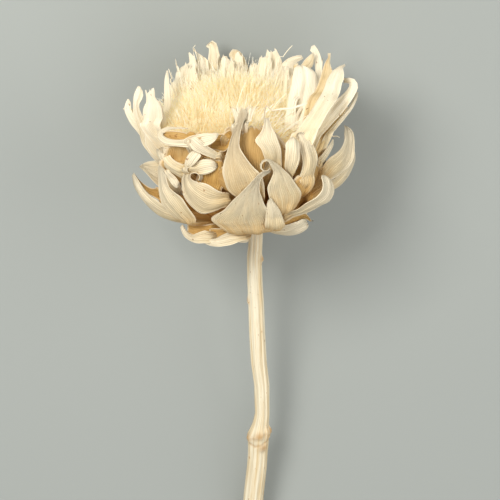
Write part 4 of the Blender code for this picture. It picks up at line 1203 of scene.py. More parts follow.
# The straps that show best: name, looks, and stations up them. Each station gives the left edge's across
# and up, how far in front both edges are, and the right edge's across and up.
CROWN_FACED: list[tuple[str, Looks, list[Station]]] = [
    ("crown_hook", dict(pleat=0.3), [
        (26.5, 44, 25, 30, 40), (30.2, 49.4, 21.5, 34.6, 46.8), (34.8, 56.3, 17, 39.8, 52.8),
        (38.5, 61.2, 13, 43.8, 57.5), (42.1, 64.2, 10, 47.7, 63), (45, 67.3, 7, 50.3, 68),
        (46.3, 69.8, 5, 49.4, 71.6), (45.3, 70.5, 4, 47, 73), (43.4, 70.8, 3, 43.5, 73)]),
    ("crown_outside", dict(pleat=0.2), [
        (31.5, 40, 22, 36.5, 42.5), (36, 46.5, 19, 39.3, 47.2), (41, 52.5, 14.5, 43.5, 52.5),
        (45, 57.5, 10, 47.5, 57.8), (47.8, 62, 7, 49.9, 62.9), (49.3, 65.5, 5, 50.5, 66)]),
    ("crown_wide", dict(pleat=0.45), [
        (16, 41, 34, 27, 39), (20.2, 47, 31, 31, 47), (24.3, 52.8, 27, 34.5, 53.5),
        (28.8, 59.2, 22, 38.8, 60.5), (33, 66.2, 15, 41.2, 65), (34.2, 70, 12, 42, 69.5),
        (35.4, 73, 9, 43.3, 72.8), (38.2, 76.7, 6.5, 43.1, 76), (41, 78.6, 5, 42.8, 77.8),
        (43.7, 79.7, 4, 44, 78.8)]),
    # crown_seam is a fully tan strip where the fold between the right-hand straps lies in shadow: painted
    # shadow.
    ("crown_seam", dict(tan=1.0, foot=0.3), [
        (28, 38, 22, 33, 38), (33, 46.5, 17.5, 37.5, 46.8), (38.5, 53, 13.5, 42, 53.3),
        (42.8, 58.5, 10, 45.5, 58.8)]),
    ("crown_fork", dict(tan=0.7), [
        (24, 57, 16, 31, 56), (29, 66, 8, 35, 67), (31.8, 73, 3, 37, 73.3), (32.8, 77, -1, 37.8, 76.5),
        (34.2, 81, -3, 36.5, 80), (35.7, 83, -5, 36.7, 83), (35.5, 85.3, -6, 36.9, 85.4)]),
    ("crown_blade", dict(pale=0.6, pleat=0.2), [
        (24, 58, 6, 29, 58), (28, 67.5, -3, 30.5, 64.5), (29.3, 72.7, -9, 32, 71),
        (29.5, 77.2, -13, 32.6, 76.5), (29, 81.5, -16, 32.8, 80.5), (28.6, 85, -18, 32, 84.5),
        (26.8, 87.3, -19, 30.5, 88), (27.6, 89.2, -20, 29, 89.9)]),
    ("crown_straw", dict(tan=0.45, bulge=0.3), [
        (17, 68, 2, 22, 64), (20, 77, -6, 23, 73.5), (22.1, 79.5, -9, 25, 77), (24.2, 82.5, -12, 28, 79.2),
        (26.7, 84.8, -14, 28.6, 82.5), (28.2, 86, -15, 28.8, 85)]),
    ("crown_sheet", dict(pale=0.8, pleat=0.6, bulge=0.06, foot=0.7), [
        (14, 46, 16, 26, 46), (14.8, 56, 12, 28, 55), (16.5, 65, 7, 29.5, 63), (17.8, 72, 3, 30.5, 70),
        (18.4, 76, 0, 30, 75.5), (19, 78.5, -2, 27.5, 78), (20.5, 79.3, -3, 24, 79)]),
    ("crown_crease", dict(pale=0.9, pleat=0.3, foot=0.7), [
        (17, 56, 13.5, 19.5, 56), (19.5, 64, 8.5, 22, 63.5), (21, 70, 4.5, 23.6, 69.5), (22, 74, 2, 23, 74)]),
    ("crown_flag", dict(pale=0.5, pleat=0.2), [
        (9, 72, -27, 18, 71), (11.5, 77, -29, 18.5, 77.5), (13, 81, -30.5, 18.8, 80.5),
        (15.8, 83.6, -31.5, 20.3, 81.8), (19.5, 85, -32, 22.4, 83), (22.6, 85.4, -32, 23.6, 83.8)]),
    ("crown_flag_shade", dict(tan=1.0), [
        (12, 70, -28, 19, 70), (14, 76, -30, 20.5, 78), (15, 79, -31.5, 21, 81.3)]),
    ("filament_high", dict(pale=1.0, pleat=0, dent=0.2), [
        (11, 80, -30, 11.4, 80), (13, 84, -31, 13.35, 84), (15.5, 87.5, -32, 15.8, 87.4),
        (18, 90.2, -33, 18.2, 90)]),
    ("filament_mid", dict(pale=1.0, pleat=0, dent=0.2), [
        (-29.6, 84, -37, -29.2, 84), (-31, 86.5, -38, -30.7, 86.6), (-31.7, 89, -38, -31.4, 89),
        (-30.4, 90.6, -38, -30.3, 90.4)]),
    ("filament_low", dict(pale=1.0, pleat=0, dent=0.2), [
        (-41.5, 68, -14, -41, 68), (-42, 73, -15, -41.6, 73), (-43.6, 78, -16, -43.3, 78)]),
    ("crown_brown", dict(tan=0.5, bulge=0.25), [
        (-14, 66, -29, -2, 66), (-13.2, 75.5, -34, -2.7, 75), (-12.2, 80, -36, -4, 79.5),
        (-12.4, 83.5, -38, -5.5, 84), (-13.8, 85.6, -39, -7.6, 86.8), (-11.8, 88.5, -40, -9.3, 88.2)]),
    ("crown_mound_1", dict(pale=0.7, ragged=2), [
        (-1, 62, -24, 8, 62), (-0.5, 72, -29, 8, 72), (1, 80, -32, 8, 81), (2, 85, -33, 7, 86)]),
    ("crown_mound_2", dict(pale=0.7, ragged=2), [
        (3, 62, -26, 12.5, 62), (3.5, 73, -31, 13, 73), (4.5, 82, -35, 13, 82), (5.5, 88.5, -36, 10, 88.8)]),
    ("crown_mound_3", dict(pale=0.6, ragged=2), [
        (-5, 62, -26, 3, 62), (-4, 72, -31, 3, 72), (-3, 79, -34, 3, 80), (-1.5, 82, -35, 2, 82.5)]),
    ("crown_mound_4", dict(pale=0.7, ragged=2), [
        (9, 60, -22, 17, 60), (9.5, 70, -27, 17, 70), (10.5, 78, -30, 16.5, 79), (12, 82, -31, 15, 83)]),
    ("crown_nub", dict(pale=0.5), [
        (-19, 68, -30, -12, 68), (-17.8, 80, -34, -13, 80), (-17.3, 83.5, -35, -13, 83),
        (-16.5, 85.4, -36, -15.2, 84.6)]),
    ("crown_beak", dict(tan=0.1), [
        (-25.5, 66, -31, -16, 66), (-24.5, 75.5, -36, -16.8, 75.5), (-24, 83, -40, -17.6, 83),
        (-23.4, 87.5, -43, -18.7, 88), (-23.7, 89.4, -44, -19.6, 91.4), (-24.3, 89.6, -44, -21.5, 93.4),
        (-25, 90, -44, -24.4, 91.2)]),
    ("crown_slant", dict(pale=0.6), [
        (-33.5, 66, -27, -22, 66), (-32.5, 75.5, -33, -23, 75.5), (-31, 81, -37, -24, 81),
        (-29, 84.5, -39, -24.2, 83), (-30, 86.6, -40, -26.5, 84.6), (-31, 88, -40.5, -29, 86.6)]),
    ("crown_slope", dict(ragged=1, pale=0.3), [
        (-42, 64, -19, -30.5, 65), (-40.5, 73, -26, -30, 74), (-39, 78, -31, -30, 79),
        (-35, 80.5, -34, -30, 82), (-32, 83, -35, -30.3, 83.3)]),
    ("crown_stalk", dict(pale=0.3, pleat=0.3), [
        (-46.5, 50, 2, -41.5, 51), (-45.8, 59, 0, -42, 59.5), (-45.5, 66, -3, -42.5, 66),
        (-45.4, 72, -7, -43.1, 71.8), (-44.9, 75, -9, -43.4, 74.8), (-44.3, 77, -10, -43.7, 76.9)]),
    ("crown_page", dict(ragged=1, pale=0.3, pleat=0.3), [
        (-52, 36, 11, -43.5, 42), (-55, 47, 15, -44, 50.5), (-55.8, 54, 17, -46, 57.5),
        (-55.5, 58, 17.5, -47.3, 61), (-54, 61, 17.5, -49.5, 62.5)]),
    ("crown_horns", dict(ragged=2.5, pale=0.6, pleat=0.3), [
        (-55.2, 46, 18, -45.5, 46), (-55.2, 52, 18.3, -46, 53), (-54.8, 58, 18.5, -46.8, 59),
        (-54, 61.5, 18.5, -49.5, 63), (-54.2, 64.5, 18.5, -49.8, 65.5), (-54.6, 67.3, 18.5, -50, 68)]),
    ("crown_peak", dict(pale=0.3), [
        (-52.5, 35.5, 8, -48, 38), (-58.3, 48, 12, -53.5, 49), (-60.4, 55, 13, -56.5, 55),
        (-60.6, 61.5, 13, -57.8, 59.5), (-60.2, 64.5, 12, -56, 63.2), (-59.2, 67, 11.5, -55.8, 65.8),
        (-58.2, 68.8, 11, -57.2, 68.5)]),
    ("string_low", dict(pale=0.8, pleat=0.2, dent=0.3), [
        (4, 55.5, 26, 4.3, 54.7), (7.5, 56.7, 29.5, 7.8, 55.8), (12, 57.5, 32, 12.2, 56.5),
        (17, 57.8, 32.5, 17.2, 56.9), (21.5, 59.2, 32, 21.8, 58.5), (24.8, 60, 31, 25, 59.6)]),
    ("crown_outer", dict(pale=0.2), [
        (-51, 33.5, 3, -48, 37), (-56.6, 43.5, 6, -53.5, 47), (-62, 50.3, 7, -58.5, 52),
        (-65, 56.5, 6.5, -61.5, 57), (-64.8, 60, 5, -61.8, 60.5), (-63.6, 62.6, 4, -63, 62.6)]),
    ("crown_outer_lip", dict(tan=0.2), [
        (-50, 36, 0, -47, 38), (-56, 46, 3, -53, 48), (-61, 52, 4, -57, 53.5), (-64, 56.6, 4, -60.3, 57),
        (-65.8, 57.8, 4, -64, 60)]),
]


@dataclass
class CrownStraps:
    """The papery straps round the choke, torn lengthwise at their tips."""

    rows: int = 40
    columns: int = 12
    middle: float = -11.5
    shreds: int = 46

    def ribbed(self) -> list[tuple[str, list[Point], float, Outline, float, int]]:
        """The straps given by a midrib: name, midrib as seen, width, outline, raggedness, strips."""
        strap, lance = Outline.STRAP, Outline.LANCE
        return [
            ("crown_right_7", [(20, 56, -14), (21.5, 65, -20), (22, 73, -24)], 13, strap, 4, 3),
            ("crown_right_8", [(22, 62, -24), (25, 73, -30), (26, 79, -32)], 11, strap, 2, 2),
            ("crown_right_11", [(22, 48, 12), (27, 58, 6), (30, 66, 2)], 14, strap, 5, 3),
            ("crown_right_12", [(33, 40, 6), (40, 52, 2), (44, 60, -2)], 11, strap, 3, 2),
            ("crown_back_1", [(5, 60, -30), (5.5, 72, -36), (6, 84, -40)], 13, strap, 5, 3),
            ("crown_back_2", [(0, 60, -29), (0, 71, -35), (0, 80, -38)], 10, strap, 4, 2),
            ("crown_back_3", [(11, 60, -26), (12, 71, -32), (12, 79, -36)], 11, strap, 4, 3),
            ("crown_back_5", [(-14, 60, -29), (-15, 71, -34), (-16, 80, -38)], 10, strap, 5, 2),
            ("crown_back_8", [(-31, 60, -26), (-34, 70, -32), (-36, 77, -35)], 11, strap, 3, 2),
            ("crown_back_9", [(-34, 58, -22), (-37, 67, -28), (-38.5, 74, -31)], 10, strap, 4, 3),
            ("crown_back_10", [(-38, 56, -18), (-40, 64, -23), (-40.5, 70, -26)], 9, strap, 4, 2),
            ("crown_left_4", [(-44, 36, -2), (-49.5, 46, -4), (-53.5, 55, -5), (-54.5, 60, -6)], 10, lance,
             2, 1),
        ]

    def build(self, leaf: bpy.types.Material) -> None:
        """Builds the piece."""
        blades = BladeMesh()
        papery = dict(row=CROWN_ROW, thick=0.5, dent=0.45)
        faced = dict(wave=0.45, lip=0.3, foot=0.5, bulge=0.12, pleat=0.5)
        for name, looks, stations in CROWN_FACED:
            edges = [(la, lu, front, ra, ru, front) for la, lu, front, ra, ru in stations]
            strap = FacedBract(name=name, edges=edges, **{**papery, **faced, **looks})
            blades.add(strap, self.rows, self.columns)
        for name, line, width, shape, ragged, strips in self.ribbed():
            strap = Bract(name=name, midrib=[seen(*p) for p in line], width=width, shape=shape, cup=(20, 35),
                          ragged=ragged, strips=strips, wave=0.8, **papery)
            blades.add(strap, self.rows, self.columns)
        rng = np.random.default_rng(12)
        for i in range(self.shreds):
            azimuth, reach = rng.uniform(104, 224), rng.uniform(27, 35)
            aside, depth, _ = around(azimuth, reach, 0)
            foot = (self.middle + aside, depth)
            top, flare = rng.uniform(66, 79), rng.uniform(1.0, 1.3)
            line = [(self.middle + (foot[0] - self.middle) * k, foot[1] * k, z)
                    for k, z in ((1, 52), ((1 + flare) / 2, (54 + top) / 2), (flare, top))]
            shred = Bract(name=f"shred_{i}", midrib=line, width=rng.uniform(4.0, 8.5), shape=Outline.STRAP,
                          cup=(5, 25), twist=(0, rng.uniform(-50, 50)), ragged=rng.uniform(1, 6), pale=0.9,
                          hook=(rng.uniform(2, 5), rng.uniform(-50, 60)), wave=0.6,
                          **{**papery, "dent": 0.4, "thick": 0.35})
            blades.add(shred, 20, 4)
        blades.mesh("crown_straps").piece("bract_head", "bract", leaf)


@dataclass
class BackBracts:
    """The bracts that the front doesn't show, spread by rule, with the two that the head lies on."""

    rows: int = 26
    columns: int = 10

    def ring(self, name: str, row: int, count: int, arc: tuple[float, float],
             path: list[tuple[float, float]], width: float, seed: int, looks: Looks) -> list[Bract]:
        """Bracts spread evenly round an arc of the axis, each a little off the rule.

        Args:
            name: the ring's name.
            row: which row of the head it is.
            count: how many bracts it has.
            arc: where the arc starts and stops, in degrees from the front.
            path: the midrib's radius and height, point by point.
            width: the bracts' width.
            seed: the seed of what is random.
            looks: other fields of each Bract.

        Returns:
            The bracts.
        """
        rng = np.random.default_rng(seed)
        made = []
        for i in range(count):
            azimuth = arc[0] + (arc[1] - arc[0]) * (i + 0.5) / count + rng.uniform(-3, 3)
            grow, lift, sway = rng.uniform(0.94, 1.05), rng.uniform(-2, 2), rng.uniform(-5, 5)
            line = [around(azimuth + sway * k / 2, r * grow, z + lift * k / 2)
                    for k, (r, z) in enumerate(path)]
            twist = (0, rng.uniform(-16, 16))
            wide = width * rng.uniform(0.9, 1.1)
            made.append(Bract(name=f"{name}_{i + 1}", row=row, midrib=line, width=wide, twist=twist, **looks))
        return made

    def resting(self) -> list[Bract]:
        """The two bracts that the head lies on, pressed level with the surface."""
        made = []
        for side, name in ((-1, "rest_left"), (1, "rest_right")):
            line = [(side * 13, 28, 11), (side * 20, 42, 22), (side * 24, 49.95, 34), (side * 24, 50.35, 45)]
            made.append(Bract(name=name, row=1, midrib=line, width=25, cup=(25, 55), wave=0, dent=0,
                              twist=(side * 26, side * 26), hook=(6, 40), pressed=True))
        return made

    def outer(self) -> list[Ring]:
        """The rings of outer bracts: name, row, count, arc, midrib, width, seed and looks."""
        rounded, shut = Outline.ROUND, (35, 65)
        return [
            ("back_hang", 0, 5, (120, 262), [(22, 2), (34, 3), (42, 9)], 21, 1,
             dict(cup=(30, 70), shape=rounded)),
            ("back_low", 1, 4, (128, 266), [(32, 7), (46, 17), (50, 29), (50, 39)], 29, 2,
             dict(cup=shut, hook=(5, 40))),
            ("back_mid", 2, 5, (134, 264), [(31, 13), (42, 24), (46, 36), (44, 47)], 25, 3,
             dict(cup=shut, hook=(4, 60))),
            ("back_high", 3, 5, (134, 262), [(31, 17), (43, 30), (48, 43), (46, 56)], 25, 4,
             dict(cup=shut, hook=(4, 80))),
            ("back_top", 4, 5, (130, 260), [(30, 21), (39, 34), (45, 48), (46, 62)], 21, 5,
             dict(cup=(35, 60), shape=Outline.LANCE, hook=(4, 40))),
            ("right_side", 3, 3, (66, 142), [(24, 11), (33, 21), (36, 33), (35.5, 45)], 27, 11,
             dict(cup=shut, hook=(4, 30))),
            ("right_under", 1, 3, (78, 134), [(20, 8), (28, 13), (33, 21), (34, 29)], 24, 12, dict(cup=shut)),
            ("left_side", 3, 3, (232, 280), [(30, 11), (42, 21), (46.5, 33), (46, 45)], 25, 13,
             dict(cup=shut, hook=(4, 30))),
            ("left_under", 1, 3, (240, 286), [(26, 6), (38, 11), (45, 19), (46.5, 27)], 26, 14,
             dict(cup=shut)),
            ("right_hang", 0, 3, (62, 116), [(17, 1.5), (23, 4), (27, 9.5)], 19, 15,
             dict(cup=(30, 60), shape=rounded)),
            ("right_behind", 1, 2, (96, 140), [(27, 10), (34, 17), (34, 25)], 24, 9, dict(cup=shut)),
            ("right_beyond", 3, 2, (100, 138), [(28, 17), (31, 28), (31, 39)], 19, 10, dict(cup=shut)),
            ("rim_inner", 5, 6, (-62, 62), [(30, 28), (35, 38), (37.5, 46), (38, 50)], 20, 8,
             dict(cup=(30, 40), shape=rounded, tan=0.5)),
        ]

    def inner(self) -> list[Ring]:
        """The rings of papery straps, in the same order."""
        looks = dict(shape=Outline.STRAP, cup=(30, 50), ragged=5, strips=2, thick=0.5, dent=0.5, pale=0.7)
        return [
            ("crown_outer", CROWN_ROW, 9, (108, 228), [(35, 38), (42, 55), (48, 68), (52, 76)], 15, 6, looks),
            ("crown_inner", CROWN_ROW, 8, (108, 230), [(33, 36), (38, 52), (43, 66), (46, 73)], 13, 7, looks),
            ("crown_low", CROWN_ROW, 4, (226, 272), [(37, 34), (42, 44), (45, 54), (46, 60)], 15, 8, looks),
        ]

    def build(self, leaf: bpy.types.Material, papery: bpy.types.Material) -> None:
        """Builds the outer bracts of the back, and its straps."""
        for name, rings, others, finish in (("back_bracts", self.outer(), self.resting(), leaf),
                                            ("back_straps", self.inner(), [], papery)):
            blades = BladeMesh()
            for bract in [bract for ring in rings for bract in self.ring(*ring)] + others:
                blades.add(bract, self.rows, self.columns)
            blades.mesh(name).piece("bract_head", "bract", finish)


def turned(name: str, profile: list[Point], sides: int) -> FlowerMesh:
    """A closed body turned round a leaning axis.

    Args:
        name: the mesh's name.
        profile: where the middle is across, the radius and the height of each ring, from below.
        sides: how many points each ring has.

    Returns:
        The mesh.
    """
    angles = np.linspace(0, 2 * np.pi, sides, endpoint=False)
    rings = [circle(middle, radius, height, angles) for middle, radius, height in profile]
    faces = [tuple(reversed(range(sides)))]
    for level in range(len(rings) - 1):
        for k in range(sides):
            a, b = level * sides + k, level * sides + (k + 1) % sides
            faces.append((a, b, b + sides, a + sides))
    faces.append(tuple(range((len(rings) - 1) * sides, len(rings) * sides)))
    return FlowerMesh(name, np.concatenate(rings), faces)


@dataclass
class Receptacle:
    """The fleshy base with the cup of grown-together bract roots, which shows in the gaps."""

    sides: int = 64
    lip: float = 48.0
    outside: list[Point] = field(default_factory=lambda: [
        (0, 3.5, 0), (0, 6, 0.8), (0, 10, 2.2), (0, 17, 5), (-0.5, 25, 9.5), (-1.5, 31, 16), (-2.5, 34.5, 24),
        (-4, 36.5, 33), (-6, 37.5, 41), (-8, 36.5, 47), (-8.5, 34, 49.5)])

    def build(self, base: bpy.types.Material) -> None:
        """Builds the piece."""
        middle, reach = choke_room(np.array(self.lip))
        profile = smooth_line(self.outside, 5).tolist() + [(float(middle), float(reach) + 1.0, self.lip)]
        turned("receptacle", profile, self.sides).piece("bract_head", "bract", base)


# The choke

@dataclass(frozen=True)
class Coat:
    """One coat of hair on part of the choke's bed.

    inner and outer are shares of the bed's reach, and arc is in degrees from the right, seen from above.
    lean is how far outwards the hairs point at the reach, rear how much longer they are at the back, locks
    how many locks there are along a millimetre, and comb which way all of them are swept.
    """

    name: str
    inner: float
    outer: float
    seed: int
    lean: float
    length: float
    rear: float = 0.95
    density: float = 3.9
    locks: float = 0.34
    tousle: float = 0.55
    pull: float = 0.8
    girth: float = 0.17
    fair: float = 0.0
    comb: Point = (0.0, 0.0, 0.0)
    arc: tuple[float, float] = (0, 360)


@dataclass
class Choke:
    """The hairy disc: a matted heart, and hairs that grow from a bed on top of it.

    The bed is domed: it rises above the top by dome in its middle, and falls by fall at its reach.
    """

    middle: float = -11.5
    reach: float = 33.0
    top: float = 55.5
    dome: float = 2.5
    fall: float = 9.5
    sides: int = 48
    rings: int = 10
    heart: list[tuple[float, float]] = field(default_factory=lambda: [
        (18, 20.7), (20.5, 25), (23.5, 33), (26.5, 42), (28.5, 50), (28.5, 54), (25, 56.5), (15, 58.2),
        (4, 59)])

    def bed(self, coat: Coat) -> bpy.types.Mesh:
        """The surface that a coat grows from, in upright millimetres."""
        angles = np.radians(np.linspace(*coat.arc, self.sides + 1))
        rings = [circle(self.middle, self.reach * share, self.top + self.dome - self.fall * share**3, angles)
                 for share in np.linspace(max(coat.inner, 0.01), coat.outer, self.rings)]
        number = np.arange(self.rings * (self.sides + 1)).reshape(self.rings, -1)
        corners = (number[:-1, :-1], number[1:, :-1], number[1:, 1:], number[:-1, 1:])
        faces = np.stack(corners, -1).reshape(-1, 4).tolist()
        mesh = bpy.data.meshes.new("bed")
        mesh.from_pydata(np.concatenate(rings).tolist(), [], faces)
        return mesh

    def growth(self, coat: Coat, hair: bpy.types.Material) -> GrowthBoard:
        """The Geometry Nodes tree that grows a coat from a bed, drawn together into locks."""
        tree = GrowthBoard("hair_growth", {
            "Density": coat.density, "Length": coat.length, "Length Spread": 0.22, "Back Length": coat.rear,
            "Lean": coat.lean, "Tousle": coat.tousle, "Locks": coat.locks, "Lock Lean": 1.0,
            "Lock Pull": coat.pull, "Comb": coat.comb, "Sway": 6.0, "Frizz": 2.4, "Fairness": coat.fair,
            "Girth": coat.girth, "Seed": coat.seed, "Material": hair})
        given, vector = tree.given, tree.vector
        place = tree.node("GeometryNodeInputPosition")
        points = tree.node("GeometryNodeDistributePointsOnFaces",
                           {"Mesh": given(), "Density": given("Density"), "Seed": given("Seed")})

        outward = vector("MULTIPLY", vector("SUBTRACT", place, (self.middle, 0, 0)),
                         (1 / self.reach, 1 / self.reach, 0))
        stray = tree.chance((-1, -1, -1), (1, 1, 1), 0, "FLOAT_VECTOR")
        cell = tree.node("ShaderNodeTexVoronoi", {"Vector": place, "Scale": given("Locks")}, "Color")
        own = tree.centred(cell)
        pull = vector("SUBTRACT", cell.twin("Position"), place)
        sway = tree.node("ShaderNodeTexNoise", {"Vector": place, "Scale": 0.07, "Detail": 1.0}, "Color")
        sway = tree.centred(sway)
        aim = vector("ADD", vector("SCALE", outward, given("Lean")), (0, 0, 1))
        aim = vector("ADD", aim, given("Comb"))
        aim = vector("ADD", aim, vector("SCALE", stray, given("Tousle")))
        aim = vector("ADD", aim, vector("SCALE", own, given("Lock Lean")))
        turn = tree.node("FunctionNodeAlignRotationToVector", {"Vector": aim}, axis="Z")
        spread = tree.chance(-1.0, 1.0, 5.0)
        tone = tree.node("ShaderNodeSeparateXYZ", {"Vector": cell}, "Y")
        back = tree.node("ShaderNodeSeparateXYZ", {"Vector": outward}, "Y").ramp(-0.3, 1.0)
        share = spread * given("Length Spread") + tone * 0.5 + back * given("Back Length") + 0.7
        size = given("Length") * share

        straight = tree.node("GeometryNodeCurvePrimitiveLine", {"Start": (0, 0, 0), "End": (0, 0, 1)})
        stalk = tree.node("GeometryNodeResampleCurve", {"Curve": straight, "Count": 5})
        tint = tone * 0.45 + spread * 0.35 + back * 0.25 + given("Fairness")
        points = tree.stored(points, "tint", "FLOAT", "POINT", tint)
        points = tree.stored(points, "pull", "FLOAT_VECTOR", "POINT", pull)
        points = tree.stored(points, "sway", "FLOAT_VECTOR", "POINT", sway)
        hairs = tree.node("GeometryNodeInstanceOnPoints",
                          {"Points": points, "Instance": stalk, "Rotation": turn, "Scale": size})
        hairs = tree.node("GeometryNodeRealizeInstances", {"Geometry": hairs})
        along = tree.node("GeometryNodeSplineParameter")
        hairs = tree.stored(hairs, "along", "FLOAT", "POINT", along)
        drawn = vector("MULTIPLY", tree.kept("pull", "FLOAT_VECTOR"), (1, 1, 0))
        drawn = vector("SCALE", drawn, along * given("Lock Pull"))
        bend = vector("SCALE", tree.kept("sway", "FLOAT_VECTOR"), along * along * given("Sway") * 2.0)
        ruffle = tree.node("ShaderNodeTexNoise", {"Vector": place, "Scale": 0.45, "Detail": 1.5}, "Color")
        ruffle = vector("SCALE", tree.centred(ruffle), along * given("Frizz") * 2.0)
        hairs = tree.moved(hairs, vector("ADD", vector("ADD", bend, drawn), ruffle))
        ring = tree.node("GeometryNodeCurvePrimitiveCircle", {"Resolution": 3, "Radius": 1.0})
        tree.close(tree.tube(hairs, given("Girth") * (1.0 - along * 0.6), ring))
        return tree

    def hairs(self, coat: Coat, hair: bpy.types.Material) -> None:
        """Grows a coat of hair, and lays it down."""
        mesh = self.growth(coat, hair).run(self.bed(coat))
        points = POSE.place(Blade.clear_of_floor(mesh_points(mesh), *FREE_GAP))
        mesh.vertices.foreach_set("co", points.astype(np.float32).ravel())
        mesh.name = coat.name
        dress(linked(coat.name, mesh), "choke")

    def build(self, hair: bpy.types.Material, felt: bpy.types.Material) -> None:
        """Builds the heart and the coats of hair."""
        profile = [(float(choke_room(np.array(z))[0]), r, z) for r, z in self.heart]
        turned("choke_heart", profile, 64).piece("choke", "choke_hair", felt)
        coats = [
            Coat("choke_middle", 0.0, 0.55, 3, 0.35, 10.5),
            Coat("choke_ring", 0.55, 0.80, 4, 0.5, 11.0, rear=0.75),
            Coat("choke_edge", 0.80, 1.0, 5, 0.6, 11.0, rear=0.6, locks=0.32),
            Coat("choke_tousle", 0.0, 0.97, 6, 0.45, 10.0, rear=0.6, density=0.8, tousle=1.3, girth=0.26,
                 fair=0.4),
            Coat("choke_sweep", 0.35, 0.95, 7, 0.2, 20.0, rear=0, density=0.2, tousle=0.5, pull=0.2,
                 girth=0.27, fair=0.6, comb=(1.5, 0.3, 0.1), arc=(-100, 25)),
            Coat("choke_mound", 0.8, 1.04, 8, 0.25, 16.0, rear=0.35, density=2.2, tousle=0.7, fair=0.45,
                 arc=(40, 140)),
            Coat("choke_wisp", 0.9, 1.0, 9, 0.5, 10.0, rear=0.5, density=0.8, tousle=0.9, fair=0.3,
                 arc=(130, 172)),
        ]
        for coat in coats:
            self.hairs(coat, hair)




# The stem

